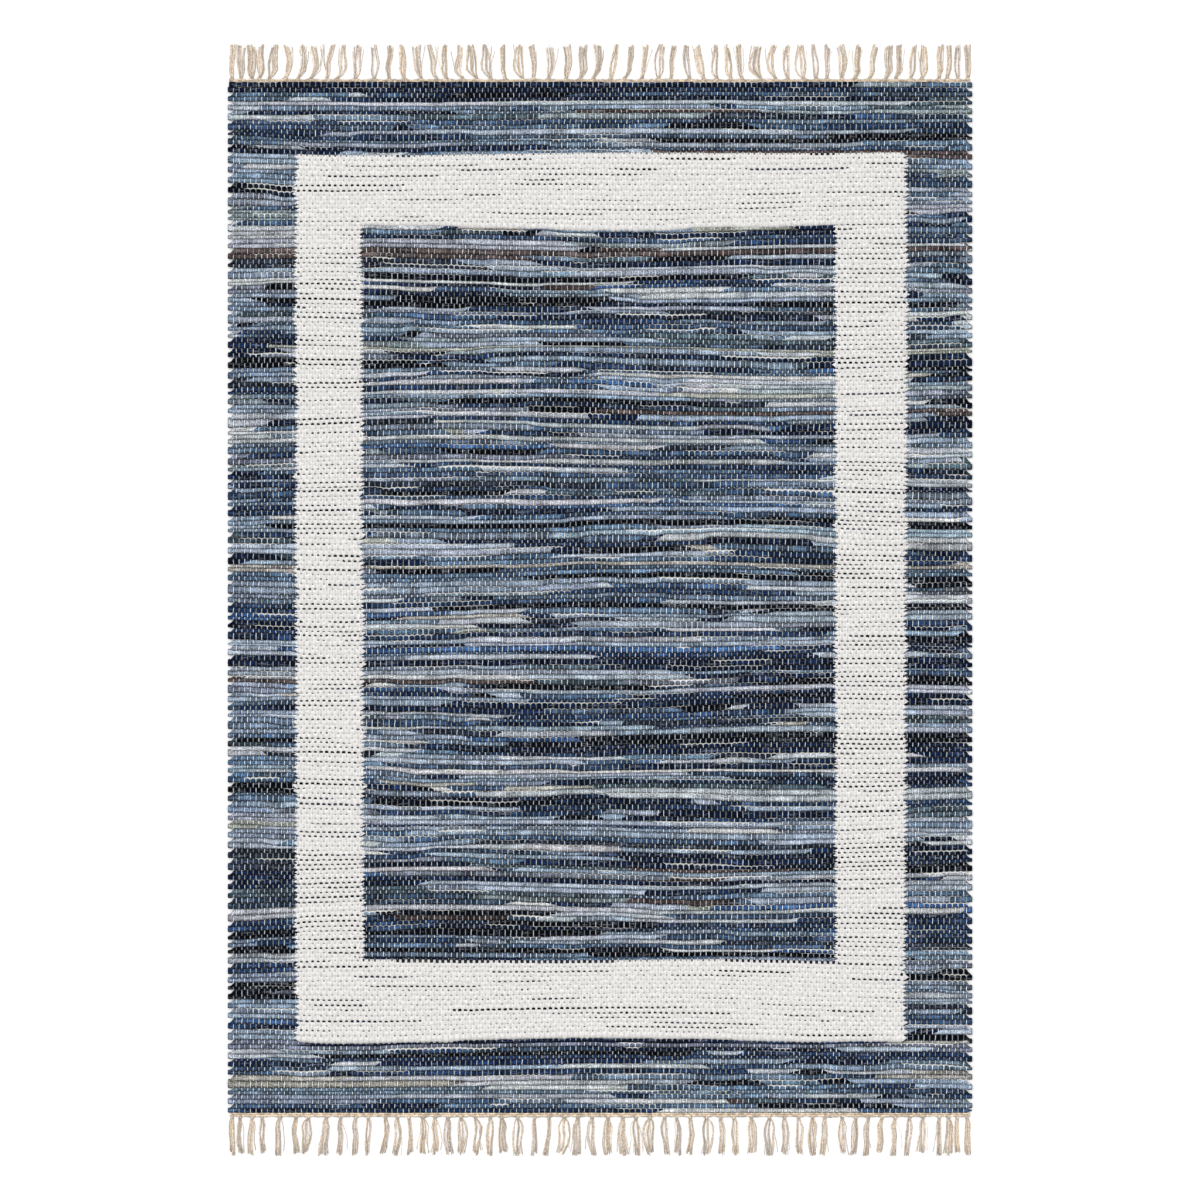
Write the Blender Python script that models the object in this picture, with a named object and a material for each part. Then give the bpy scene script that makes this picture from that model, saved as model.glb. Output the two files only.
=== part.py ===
"""Handwoven denim rag rug, lying flat, with a knotted cotton fringe at both ends.

Metres, +Z up. The weft rows run along X and the warp along Y. The origin is on the floor, under the
middle of the rug with its fringes. The cloth is one solid with a rib for each weft row, and each fringe is
one solid: a narrow heading that runs beside the cloth's end, with the knots and locks of its tassels.
"""

import math
import random

import bmesh
import bpy

# Size of the whole rug
RUG_WIDTH = 1.220  # over the tips of the weft's turns
RUG_LENGTH = 1.828  # from fringe tip to fringe tip
FAR_FRINGE = 0.0600  # from the cloth's end to the longest tassel's tip, at +Y
NEAR_FRINGE = 0.0690  # the same at -Y
GAP = 0.0003  # between the cloth and each fringe

# Weft rows
WEFT_ROWS = 222
CREST_HEIGHT = 0.0075
GROOVE_HEIGHT = 0.0048
ROW_UNEVENNESS = 0.16  # how much a row's width in Y may differ, as a share of the mean
CREST_UNEVENNESS = 0.0005
LINE_UNEVENNESS = 0.0007  # how far a rib line strays in Y at each column
INNER_COLUMNS = (-0.21, 0.19)  # X of the lines across which the rows bend
DRIFT_WAVES = (  # slow bows of the rows: height, wavelength in X, wavelength in Y, phase
    (0.0030, 1.30, 0.83, 0.4),
    (0.0022, 0.71, -0.37, 1.9),
)

# Selvedges: each second row reaches the edge and turns back there, and the row between stops short
SELVEDGE_DEPTH = 0.0085
LEVEL_DEPTH = 0.0130  # from the edge to where every row has its full height
TURN_SHOULDER = 0.0014  # how far the groove beside a turn lies behind its tip
TURN_HEIGHT = 0.0058
SHORT_ROW_HEIGHT = 0.0042

# White frame woven into the cloth, as half sizes from the rug's middle
FRAME_OUTER = (0.501, 0.7255)
FRAME_INNER = (0.3875, 0.6040)

# Fringes
TASSELS = 54
HEADING_MARGIN = 0.0010  # from the selvedge to the heading's end
HEADING_WIDTH = 0.0048
HEADING_HEIGHT = 0.0034
CORNER_ROOM = 0.0056  # from the selvedge to the first tassel's root
CORNER_PITCHES = 3  # crowded pitches at each corner
CORNER_CROWDING = 0.62
PITCH_UNEVENNESS = 0.20
ROOT_WIDTH = 0.0046
KNOT_RINGS = (  # distance past the heading, width, height
    (0.0030, 0.0066, 0.0052),
    (0.0062, 0.0052, 0.0032),
)
LOCK_RINGS = (  # share of the way to the tip, width, height, greatest sway of the whole tassel
    (0.50, 0.0034, 0.0030, 0.0020),
    (1.00, 0.0038, 0.0024, 0.0048),
)
LOCK_GAP = 0.0010
SHARE_OF_THREES = 0.35  # tassels that part in three locks, where the others part in two
TIP_UNEVENNESS = 0.10  # how much shorter than the longest a lock may be, as a share

SHARP_ANGLE = math.radians(75.0)  # edges above this stay sharp, and the ribs look round

# Colours, linear
DENIM = (0.062, 0.105, 0.190)
WHITE_RAG = (0.760, 0.745, 0.715)
COTTON = (0.600, 0.490, 0.370)


def clear_scene():
    """Remove what the file already holds."""
    for old in list(bpy.data.objects):
        bpy.data.objects.remove(old, do_unlink=True)


def fabric_material(name, colour, roughness):
    """A matt Principled material in one colour."""
    material = bpy.data.materials.new(name)
    material.use_nodes = True
    shader = material.node_tree.nodes["Principled BSDF"]
    shader.inputs["Base Color"].default_value = (*colour, 1.0)
    shader.inputs["Roughness"].default_value = roughness
    shader.inputs["Metallic"].default_value = 0.0
    return material


def add_math(tree, operation, first, second):
    """A math node whose two inputs are sockets or numbers. Returns its output."""
    node = tree.nodes.new("ShaderNodeMath")
    node.operation = operation
    for socket, value in zip(node.inputs, (first, second)):
        if isinstance(value, bpy.types.NodeSocket):
            tree.links.new(value, socket)
        else:
            socket.default_value = value
    return node.outputs[0]


def inside_rectangle(tree, across, along, half_sizes):
    """A mask that is 1 within a rectangle about the rug's middle."""
    in_width = add_math(tree, "LESS_THAN", across, half_sizes[0])
    in_length = add_math(tree, "LESS_THAN", along, half_sizes[1])
    return add_math(tree, "MULTIPLY", in_width, in_length)


def weave_frame(material):
    """Colour the white frame into the cloth's material."""
    tree = material.node_tree
    place = tree.nodes.new("ShaderNodeTexCoord")
    axes = tree.nodes.new("ShaderNodeSeparateXYZ")
    tree.links.new(place.outputs["Object"], axes.inputs[0])
    across = add_math(tree, "ABSOLUTE", axes.outputs["X"], 0.0)
    along = add_math(tree, "ABSOLUTE", axes.outputs["Y"], 0.0)
    outer = inside_rectangle(tree, across, along, FRAME_OUTER)
    inner = inside_rectangle(tree, across, along, FRAME_INNER)
    mix = tree.nodes.new("ShaderNodeMix")
    mix.data_type = "RGBA"
    mix.inputs["A"].default_value = (*DENIM, 1.0)
    mix.inputs["B"].default_value = (*WHITE_RAG, 1.0)
    tree.links.new(add_math(tree, "SUBTRACT", outer, inner), mix.inputs["Factor"])
    shader = tree.nodes["Principled BSDF"]
    tree.links.new(mix.outputs["Result"], shader.inputs["Base Color"])


def add_object(name, bm, material, collection, location=(0.0, 0.0, 0.0), turn=0.0):
    """Make a finished bmesh an object, set down at a place and turned about Z."""
    bmesh.ops.recalc_face_normals(bm, faces=bm.faces[:])
    mesh = bpy.data.meshes.new(name)
    bm.to_mesh(mesh)
    bm.free()
    mesh.shade_smooth()
    mesh.set_sharp_from_angle(angle=SHARP_ANGLE)
    mesh.materials.append(material)
    piece = bpy.data.objects.new(name, mesh)
    piece.location = location
    piece.rotation_euler.z = turn
    collection.objects.link(piece)


def grid_places(bm, columns, lines):
    """A flat grid's vertices with the column and the line that each one stands at."""
    side = 1.0
    bmesh.ops.create_grid(bm, x_segments=columns - 1, y_segments=lines - 1, size=side / 2)
    for vert in bm.verts:
        column = round((vert.co.x / side + 0.5) * (columns - 1))
        line = round((vert.co.y / side + 0.5) * (lines - 1))
        yield vert, column, line


def rib_lines(near_end, far_end, rng):
    """Y of the groove and crest lines in turn, from the near end to the far end."""
    widths = [1.0 + ROW_UNEVENNESS * rng.uniform(-1.0, 1.0) for _ in range(WEFT_ROWS)]
    scale = (far_end - near_end) / sum(widths)
    lines = [near_end]
    for width in widths:
        lines.append(lines[-1] + width * scale / 2)
        lines.append(lines[-1] + width * scale / 2)
    return lines


def drift(x, y, near_end, far_end):
    """How far the rows have bowed in Y at a place. The ends stay straight."""
    share = (y - near_end) / (far_end - near_end)
    taper = 1.0 - (2.0 * share - 1.0) ** 8
    waves = sum(
        height * math.sin(math.tau * (x / wave_x + y / wave_y) + phase)
        for height, wave_x, wave_y, phase in DRIFT_WAVES
    )
    return taper * waves


def selvedge_point(line, turning_rows):
    """Distance from the edge and height of the outermost vertex on a rib line."""
    row, on_crest = divmod(line, 2)
    if not on_crest:
        return TURN_SHOULDER, SHORT_ROW_HEIGHT
    if row % 2 == turning_rows:
        return 0.0, TURN_HEIGHT
    return SELVEDGE_DEPTH, SHORT_ROW_HEIGHT


def build_cloth(near_end, far_end, material, collection):
    """The ribbed cloth, with its scalloped selvedges and a flat underside."""
    rng = random.Random("cloth")
    half = RUG_WIDTH / 2
    level = half - LEVEL_DEPTH
    columns = (-half, -level, *INNER_COLUMNS, level, half)
    lines = rib_lines(near_end, far_end, rng)
    last_column = len(columns) - 1
    last_line = len(lines) - 1

    bm = bmesh.new()
    for vert, column, line in grid_places(bm, len(columns), len(lines)):
        x = columns[column]
        y = lines[line] + drift(x, lines[line], near_end, far_end)
        z = GROOVE_HEIGHT
        if line % 2:
            z = CREST_HEIGHT - CREST_UNEVENNESS * rng.random()
        if 0 < line < last_line:
            y += LINE_UNEVENNESS * rng.uniform(-1.0, 1.0)
        if column in (0, last_column):
            inset, z = selvedge_point(line, turning_rows=column // last_column)
            x -= math.copysign(inset, x)
        vert.co = (x, y, z)

    rim = [edge for edge in bm.edges if edge.is_boundary]
    skirt = bmesh.ops.extrude_edge_only(bm, edges=rim)["geom"]
    floor = [item for item in skirt if isinstance(item, bmesh.types.BMVert)]
    for vert in floor:
        vert.co.z = 0.0
    inner_floor = [vert for vert in floor if abs(vert.co.x) <= level]
    bmesh.ops.dissolve_verts(bm, verts=inner_floor)
    rim = [edge for edge in bm.edges if edge.is_boundary]
    sides = [edge for edge in rim if edge.verts[0].co.x * edge.verts[1].co.x > 0.0]
    bmesh.ops.bridge_loops(bm, edges=sides)
    add_object("cloth", bm, material, collection)


def tassel_roots(rng):
    """X of each tassel's root, crowded at the corners."""
    pitches = []
    for place in range(TASSELS - 1):
        from_corner = min(place, TASSELS - 2 - place)
        crowding = CORNER_CROWDING if from_corner < CORNER_PITCHES else 1.0
        pitches.append(crowding * (1.0 + PITCH_UNEVENNESS * rng.uniform(-1.0, 1.0)))
    scale = (RUG_WIDTH - 2 * CORNER_ROOM) / sum(pitches)
    roots = [CORNER_ROOM - RUG_WIDTH / 2]
    for pitch in pitches:
        roots.append(roots[-1] + pitch * scale)
    return roots


def room_beside(roots, place):
    """Half of the width that a tassel may fill without reaching its neighbour's."""
    to_left = roots[place] - roots[place - 1] if place > 0 else 2 * CORNER_ROOM
    to_right = roots[place + 1] - roots[place] if place < TASSELS - 1 else 2 * CORNER_ROOM
    return min(to_left, to_right) / 2


def add_heading(bm, roots):
    """The heading as a flat bar, cut across beside each root. Returns the face of each root."""
    half = RUG_WIDTH / 2 - HEADING_MARGIN
    cuts = [-half]
    for root in roots:
        cuts += [root - ROOT_WIDTH / 2, root + ROOT_WIDTH / 2]
    cuts.append(half)
    for vert, column, line in grid_places(bm, len(cuts), 2):
        vert.co = (cuts[column], GAP + line * HEADING_WIDTH, 0.0)
    raised = bmesh.ops.extrude_face_region(bm, geom=bm.faces[:])["geom"]
    for item in raised:
        if isinstance(item, bmesh.types.BMVert):
            item.co.z = HEADING_HEIGHT
    front = [face for face in bm.faces if all(vert.co.y > HEADING_WIDTH / 2 for vert in face.verts)]
    front.sort(key=lambda face: face.calc_center_median().x)
    return front[1::2]


def grow(bm, face, x, y, width, height):
    """Extrude a standing four-sided face to a ring at a place. Returns the new end face."""
    end = bmesh.ops.extrude_discrete_faces(bm, faces=[face])["faces"][0]
    middle = end.calc_center_median()
    for vert in end.verts:
        left = vert.co.x < middle.x
        low = vert.co.z < middle.z
        vert.co = (x - width / 2 if left else x + width / 2, y, 0.0 if low else height)
    return end


def split_across(bm, face, count):
    """Part a standing four-sided face into equal faces side by side, from left to right."""
    y = face.calc_center_median().y
    level = [edge for edge in face.edges if abs(edge.verts[0].co.z - edge.verts[1].co.z) < GAP]
    parted = bmesh.ops.subdivide_edges(bm, edges=level, cuts=count - 1, use_grid_fill=True)
    corners = [item for item in parted["geom_inner"] if isinstance(item, bmesh.types.BMVert)]
    faces = {near for vert in corners for near in vert.link_faces}
    standing = [near for near in faces if all(abs(vert.co.y - y) < GAP for vert in near.verts)]
    return sorted(standing, key=lambda near: near.calc_center_median().x)


def add_tassel(bm, face, root, room, reach, rng, longest):
    """A knot and the locks that part from it, all within the tassel's own room."""
    for distance, width, height in KNOT_RINGS:
        face = grow(bm, face, root, HEADING_WIDTH + GAP + distance, width, height)
    neck = HEADING_WIDTH + GAP + KNOT_RINGS[-1][0]
    count = 3 if rng.random() < SHARE_OF_THREES else 2
    full_width = count * LOCK_RINGS[-1][1] + (count - 1) * LOCK_GAP
    fit = min(1.0, (2 * room - LOCK_GAP) / full_width)
    play = room - (full_width * fit + LOCK_GAP) / 2
    sways = [rng.uniform(-1.0, 1.0) * min(limit, play) for *_, limit in LOCK_RINGS]
    for order, lock in enumerate(split_across(bm, face, count)):
        shortening = 0.0 if longest and order == 0 else TIP_UNEVENNESS * rng.random()
        tip = reach * (1.0 - shortening)
        for (share, width, height, _), sway in zip(LOCK_RINGS, sways):
            x = root + sway + (order - (count - 1) / 2) * (width + LOCK_GAP) * fit
            lock = grow(bm, lock, x, neck + share * (tip - neck), width * fit, height)


def build_fringe(name, reach, end_y, turn, material, collection):
    """A heading and its row of tassels, made along its own +Y from the cloth's end."""
    rng = random.Random(name)
    bm = bmesh.new()
    roots = tassel_roots(rng)
    for place, face in enumerate(add_heading(bm, roots)):
        longest = place == TASSELS // 2
        add_tassel(bm, face, roots[place], room_beside(roots, place), reach, rng, longest)
    add_object(name, bm, material, collection, location=(0.0, end_y, 0.0), turn=turn)


def build_rug():
    """All three pieces, in a collection named for the rug."""
    clear_scene()
    collection = bpy.data.collections.new("denim_rag_rug")
    bpy.context.scene.collection.children.link(collection)
    rags = fabric_material("woven_denim_rags", DENIM, roughness=0.92)
    weave_frame(rags)
    cotton = fabric_material("cotton_warp", COTTON, roughness=0.90)
    near_end = NEAR_FRINGE - RUG_LENGTH / 2
    far_end = RUG_LENGTH / 2 - FAR_FRINGE
    build_cloth(near_end, far_end, rags, collection)
    build_fringe("fringe_far", FAR_FRINGE, far_end, 0.0, cotton, collection)
    build_fringe("fringe_near", NEAR_FRINGE, near_end, math.pi, cotton, collection)


build_rug()
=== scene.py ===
"""Handwoven denim rag rug with a white frame and knotted cotton tassels, lying flat.

The weft rows run along X and the warp along Y, in metres, with +Z up. Every row of rags is a tube of its
own, pressed in where a warp end crosses it, and the crossings, the headings and the tassels are cotton.
"""

import math
import random

import bmesh
import bpy
import numpy as np
from mathutils import Matrix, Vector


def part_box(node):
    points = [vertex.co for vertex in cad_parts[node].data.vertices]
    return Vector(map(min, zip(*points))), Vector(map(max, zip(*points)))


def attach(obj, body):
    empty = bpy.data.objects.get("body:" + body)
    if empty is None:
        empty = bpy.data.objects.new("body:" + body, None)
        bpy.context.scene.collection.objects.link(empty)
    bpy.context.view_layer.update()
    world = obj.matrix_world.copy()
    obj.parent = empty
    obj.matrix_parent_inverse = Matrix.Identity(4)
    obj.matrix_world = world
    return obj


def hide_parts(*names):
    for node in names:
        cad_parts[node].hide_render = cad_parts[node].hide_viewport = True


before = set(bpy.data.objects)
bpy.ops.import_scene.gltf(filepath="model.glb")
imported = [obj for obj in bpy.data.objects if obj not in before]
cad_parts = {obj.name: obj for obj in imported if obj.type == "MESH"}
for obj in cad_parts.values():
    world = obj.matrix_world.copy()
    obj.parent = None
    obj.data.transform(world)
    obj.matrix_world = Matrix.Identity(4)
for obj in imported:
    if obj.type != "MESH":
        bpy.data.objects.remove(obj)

bl_info = {
    "name": "Denim rag rug",
    "version": (1, 0, 0),
    "blender": (4, 5, 0),
    "location": "View3D > Sidebar > Rug",
    "description": "Weaves a flat rag rug with a white frame and knotted tassels",
    "category": "Object",
}

# The cloth and fringes as they were packed
CLOTH_LOW, CLOTH_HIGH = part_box("cloth")
FAR_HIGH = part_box("fringe_far")[1]
NEAR_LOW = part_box("fringe_near")[0]
DRAWN_IN = 0.0030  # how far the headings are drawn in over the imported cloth's two ends
CREST_ROOM = 0.0002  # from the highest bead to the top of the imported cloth

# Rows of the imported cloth: the lines of its ribs, which the rows here follow
ROW_UNEVENNESS = 0.16
DRIFT_WAVES = (  # slow bows of the rows: height, wavelength in X, wavelength in Y, phase
    (0.0030, 1.30, 0.83, 0.4),
    (0.0022, 0.71, -0.37, 1.9),
)
STRAIGHT_ENDS = 8  # the higher, the nearer to the cloth's straight ends the rows bow fully

# Rag strips, one sewn to the next
SHORTEST_STRIP = 0.025
LONGEST_STRIP = 1.40
USUAL_STRIP = 0.108
STRIP_VARIETY = 0.95  # spread of the strips' lengths about the usual one, as a natural logarithm
SPARE_STRIPS = 20
SAME_GARMENT = 0.28  # share of strips that are cut from the same cloth as the one before
WEDGES = (0.006, 0.050)  # shortest and longest overlap where one strip tapers out and the next one in
WEDGE_SHARE = 0.8  # share of the shorter of two strips that their overlap may take
STRIP_LIGHTNESS = 0.20  # how far strips of one shade differ, as a share
LIGHTEST_STRIP = 0.80
GREATEST_STOUTNESS = 1.8
BEAD_LIGHTNESS = 0.43  # how far the beads of one strip differ
LIGHT_CALM = 0.75  # how much less the beads of light rags differ
BEAD_SWELL = 0.08  # how far the beads' widths differ
CHANNEL_TINT = 0.024  # how far strips of one shade differ in red, green and blue
OPEN_JOIN = 1.15  # a join's level when only one of its two strips shows
RAG_SHADES = (  # colour as 0 to 255, and share of the rags
    ((3, 7, 19), 0.100),
    ((11, 26, 53), 0.130),
    ((25, 46, 78), 0.120),
    ((47, 71, 103), 0.105),
    ((71, 97, 126), 0.100),
    ((50, 84, 134), 0.022),
    ((101, 125, 153), 0.100),
    ((130, 151, 177), 0.105),
    ((159, 174, 198), 0.090),
    ((141, 162, 193), 0.018),
    ((189, 199, 214), 0.095),
    ((209, 215, 225), 0.050),
    ((109, 123, 146), 0.035),
    ((62, 82, 96), 0.040),
    ((128, 146, 156), 0.025),
    ((166, 170, 160), 0.013),
    ((31, 41, 58), 0.030),
    ((102, 110, 129), 0.020),
    ((70, 57, 56), 0.010),
    ((190, 185, 175), 0.008),
)

# How the rows give way to a stout or thin strip
GRID_COLUMNS = 265
STRAY_MEMORY = 0.55  # share of a stray that the next row still has
STRAY_GAIN = 0.21  # stray for one unit of stoutness, in rows
STRAY_SPREAD = (1.0, 2.0, 3.0, 2.0, 1.0)
STRAY_END_ROWS = 9.0  # rows over which the strays fade towards the straight ends
OVERLAP_STOUTNESS = 0.5
WHITE_STOUTNESS = 0.15

# White frame: rows and half widths, leaning slightly
WHITE_NEAR_ROWS = (16, 32)
WHITE_FAR_ROWS = (191, 206)
FRAME_OUTER_X = (-0.4986, 0.5017)
FRAME_INNER_X = (-0.3900, 0.3875)
FRAME_LEANS = (-0.0005, -0.0026, -0.0008, 0.0021)  # sideways shift of each edge for a metre along Y
FRAME_JITTER = 0.0016
BEYOND_FRAME = -0.050

# Raw edges and dashes along the row boundaries
RAW_EDGES_A_ROW = 3.1
RAW_EDGE_STRENGTHS = (0.30, 1.0)
RAW_EDGE_LENGTHS = (0.015, 0.20)
DASH_RUNS_A_ROW = 3.8
DASH_RUN_LENGTHS = (0.02, 0.24)
FAINT_DASHES = (0.05, 0.52)
DASH_STRENGTHS = (0.60, 1.20)
SIDE_DASHES = (0.14, 1.10)  # strength over pale denim, and what dark denim adds
SIDE_DASH_VARIETY = (0.5, 1.0)
PALE_BEHIND = 0.16  # lightness of denim that no longer darkens the dashes

# One row's tube, ring by ring. Pairs are for the denim rows and the flatter white rows
FIRST_CROSSING = 0.85  # from the tip, in beads
SPARE_BEADS = 3  # beads of a row beyond the number of its crossings
WAIST_RINGS = ((-0.27, 1.0), (0.0, 0.0), (0.27, 1.0))  # distance from a crossing in beads, and fullness
# Rings of a row's two ends: distance in beads, bend towards the far end in rows, share of the full section
NOSE_RINGS = ((-0.14, 0.06, 0.98), (0.05, 0.12, 1.14))  # from the tip
TURN_RINGS = ((0.10, -0.16, 0.92), (0.50, -0.50, 0.58), (1.04, -0.72, 0.24))  # beyond the short end
FIRST_ROW_RINGS = ((0.10, 0.0, 1.0), (0.45, 0.0, 1.0), (0.84, 0.0, 0.90))
WAIST_HALVES = (0.38, 0.74)  # half the tube's width at a crossing, in rows
BEAD_HALVES = (0.55, 0.80)
WAIST_TOPS = (0.0049, 0.0068)
GIRTH_HEIGHTS = (0.0036, 0.0064)  # of the line where the tube is widest
FLOORS = (0.0003, 0.0013)  # lowest place of a waist and of a bead
WHITE_EASE = 0.0080  # length in X over which a row takes on the white rows' flatter form
SHARED_FLATNESS = 0.48  # share of the white rows' flatter form that the rows beside them have
CREST_UNEVENNESS = 0.0006
STOUT_CREST = 0.0012  # extra crest for a row of twice the width
THINNEST_ROW = -0.5  # below this the crest stays as it is
SIDES = 4
BANDS = 4
CAP_ROOM = 0.004  # share of the map beside a tube's sides, for its two caps
CAP_SIZE = (0.45, 0.40)  # of a cap's outline in its own place on the map

# Crossings of the warp and the ground between the rows. Pairs are over denim and over white rags
STITCH_WIDTH = 0.00124
STITCH_REACH = 0.96  # length of a crossing, in rows
STITCH_TOPS = (0.0061, 0.0071)
STITCH_ENDS = (0.0037, 0.0062)
STITCH_EDGE = 0.0006  # how much lower its long edges lie
STITCH_LEAN = 0.0003
STITCH_MARGIN = 0.04  # empty share of its place on the map, at each side
PALE_RAG = 0.20  # the lightness of a rag that no longer rubs off on the crossings
RUB_OFF = 0.40  # how much of a crossing's tone comes from that
OVER_WHITE = 0.47  # the tint of the crossings over white rags, and how far it varies
OVER_WHITE_VARIETY = 0.20
GROUND_HEIGHT = 0.0026
GROUND_RIDGE = 0.0005
GROUND_INSET = 0.0110

# Headings and tassels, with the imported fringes' own places
GAP = 0.0003
HEADING_MARGIN = 0.0010
HEADING_WIDTHS = {"far": 0.0044, "near": 0.0070}
HEADING_RAGGEDNESS = 0.0005
HEADING_GIRTHS = (0.50, 0.08, 0.04)  # half width in rows, what an upper turn adds, and how far it varies
HEADING_RISES = (0.80, 0.20)  # share of the half height, and what an upper turn adds
HEADING_HEIGHT = 0.0034
HEADING_ROWS = 2
HEADING_TIP = 0.4  # share of the full section at its two tips
ROOT_BULGE = 0.0016  # how far the heading's edge is drawn out at a knot
ROOT_BULGE_HALF = 0.0055
CORNER_ROOM = 0.0056
CORNER_PITCHES = 3
CORNER_CROWDING = 0.62
PITCH_UNEVENNESS = 0.20
LOCK_RINGS = ((0.50, 0.0034, 0.0020), (1.00, 0.0038, 0.0048))  # share of the way, width, greatest sway
LOCK_GAP = 0.0010
SHARE_OF_THREES = 0.35
TIP_UNEVENNESS = 0.10

# Knots
KNOT_HALF = (0.0027, 0.0017, 0.0020)
KNOT_SIZES = (0.75, 1.15)
KNOT_SEGMENTS = (7, 4)
# Knots are darker than the yarns, as painted shade
KNOT_SHADE_TINT = 0.7
KNOT_PULLS = {"far": 0.0105, "near": 0.0032}  # how far sideways a tassel pulls its knot
PULL_ROOM = 0.88  # share of a tassel's room that its knot may be pulled through
PULLED_TOGETHER = 0.70  # share of the pull that is like the neighbours'
PULL_WAVE = (0.47, 0.12)  # length and start in X of the slow wave in which neighbours pull
KNOT_PLACE = 0.0012  # from the heading to the knot's middle
KNOT_MAP = 0.10  # the knots' share of the tassels' map

# Yarns
YARNS_A_LOCK = {2: 4, 3: 3}
YARN_SIDES = 3
YARN_RADIUS = 0.00066
YARN_THICKNESSES = (0.78, 1.2)
YARN_HEIGHTS = (1.05, 2.0)  # of the lower and the upper yarns of a lock, in radii
YARN_ROOTS = (  # first two points, in the heading: share of the drag, share of its width, beyond it, height
    (1.0, 0.6, 0.0, 0.0024),
    (0.4, 1.0, GAP, 0.0022),
)
YARN_WAYPOINTS = (0.0, 0.10, 0.25, 0.45, 0.70, 1.0)  # share of the way from the knot to the tip
YARN_WAVE = 0.0005
YARN_WAVELENGTHS = (0.025, 0.060)
OPENINGS = {"far": 0.34, "near": 0.26}  # share of the way in which a tassel opens to its full width
NECK_HALF = 0.0023  # from the middle of a knot to the outermost yarns
NECK_PLACE = 0.0026  # from the heading to the first waypoint
ROOT_DRAGS = {"far": 0.0052, "near": 0.0018}  # how far along the heading a tassel's yarns come from
DRAG_ROOM = 0.8  # share of a tassel's room that its yarns may come from at most
FULL_ROOM = 0.010  # the room from which a tassel opens and its stray yarns swing in full
WIDENING = {"far": 1.10, "near": 1.40}  # how much wider than packed the locks lie at their tips
TIP_VARIETY = (0.97, 1.03)
LOCK_WAVE = 0.0006
TASSEL_WAVE = 0.0012
TASSEL_WAVELENGTHS = (0.045, 0.080)
EYES = 0.45  # share of the tassels whose locks bow apart
EYE_WIDTH = 0.0030  # how far two locks bow apart between the neck and the tip
EYE_CLOSING = (0.2, 0.8)  # share of it by which they come together again
# Painted shade: the yarns are darker at their first rings, beside the knot
ROOT_SHADE_TINTS = np.array((0.8, 0.1, 0.45, 1.0))  # share of its tint that a yarn has at its first rings
STRAY_YARNS = 2.5
STRAY_ROOM = 0.95  # share of the tassel's room that their tips may reach
STRAY_TIPS = (0.80, 0.99)  # share of the tassel's reach
STRAY_HALFWAY = 0.7  # share of the way aside that they have gone halfway
STRAY_RADII = (0.00046, 0.00064)
STRAY_HEIGHT = 1.2  # in radii
STRAY_WAVE = 0.0042
STRAY_TURNS = (1.0, 2.6)

# Ranges in the materials: from and to, and what they give at the two ends
MATT = 0.03  # how little cotton shines
SHEEN_ROUGHNESS = 0.6
FINE_FIBRES = ((1.0, 2.5, 1.0), 900.0, 3.0)  # stretch, scale, detail
BROAD_FIBRES = ((1.0, 1.0, 1.0), 160.0, 2.0)
FINE_SHARE = 0.6
FIBRE_CONTRAST = 4.0
TWIST_SLANT = math.radians(38.0)
TWIST_DISTORTION = 1.5
COTTONS = {  # range of tones, turns of the yarn, unevenness
    "cotton_ground": ((0.55, 0.60), 700.0, 0.05),
    "cotton_crossings": ((0.28, 1.56), 800.0, 0.08),
    "cotton_tassels": ((0.68, 1.20), 600.0, 0.24),
}
YARN_FIBRES = {"Scale": 1.3, "Contrast": 0.18}
YARN_TWIST_CONTRAST = 0.16
YARN_TWIST_SHARE = 0.6  # of the twist in the relief, beside the fibres
YARN_RELIEF = (0.5, 0.0003)  # strength and depth
SLUBS = ((1.0, 0.50, 1.0), 560.0, 2.0)
SLUB_RANGE = (0.34, 0.66)
# Brown speckles of painted shade, where the mesh marks the knots, the yarns' roots and the headings' outer
# edges
SHADE_SPECKS = ((1.0, 1.0, 1.0), 480.0, 1.0)
SHADE_SPECK_RANGE = (0.52, 0.64, 0.0, -0.55)
RAG_FIBRES = {"Scale": 1.0, "Contrast": 0.34}
RAG_TWILL = {"Turns": 420.0, "Contrast": 0.14}
RAG_TWILL_SHARE = 0.35
RAG_RELIEF = (0.55, 0.0006)
RAGGED = ((0.30, 1.0, 1.0), 420.0, 2.0)
RAGGEDNESS = 0.5  # how far ragged lines stray, in half rows
RAG_PATTERNS = {  # stretch along X, scale, detail, roughness, and the range
    "turned": (0.22, 260.0, 2.0, 0.60, 0.56, 0.66, 0.0, 0.55),  # where the wrong side turns up
    "streaks": (0.10, 520.0, 3.0, 0.65, 0.30, 0.72, 0.74, 1.26),
    "worn": (0.17, 135.0, 1.0, 0.55, 0.33, 0.67, 0.82, 1.18),
    "flecks": (0.62, 520.0, 3.0, 0.75, 0.37, 0.64, 0.37, 1.76),
    "patchy": (0.60, 300.0, 2.0, 0.55, 0.30, 0.70, 0.90, 1.08),  # on the white rags
}
# Painted shade: thin dark lines along the rags' folds
CREASE_SHADE_LINES = ((0.07, 1.0, 1.0), 760.0, 1.0)
CREASE_SHADE_RANGE = (0.0, 0.045, 0.48, 1.0)
WRONG_SIDE_TONE = 1.25
WRONG_SIDE_GREY = 0.42
WRONG_SIDE_COLOUR = (0.34, 0.38, 0.45)
LIGHT_LIMIT = 0.44  # how strongly light denim is held back
# Painted shade on the denim: a little lighter on a row's crest and darker towards its edges
SHADED_SIDES = (0.54, 0.92, 1.06, 0.42)  # from a row's crest to its edges
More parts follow.
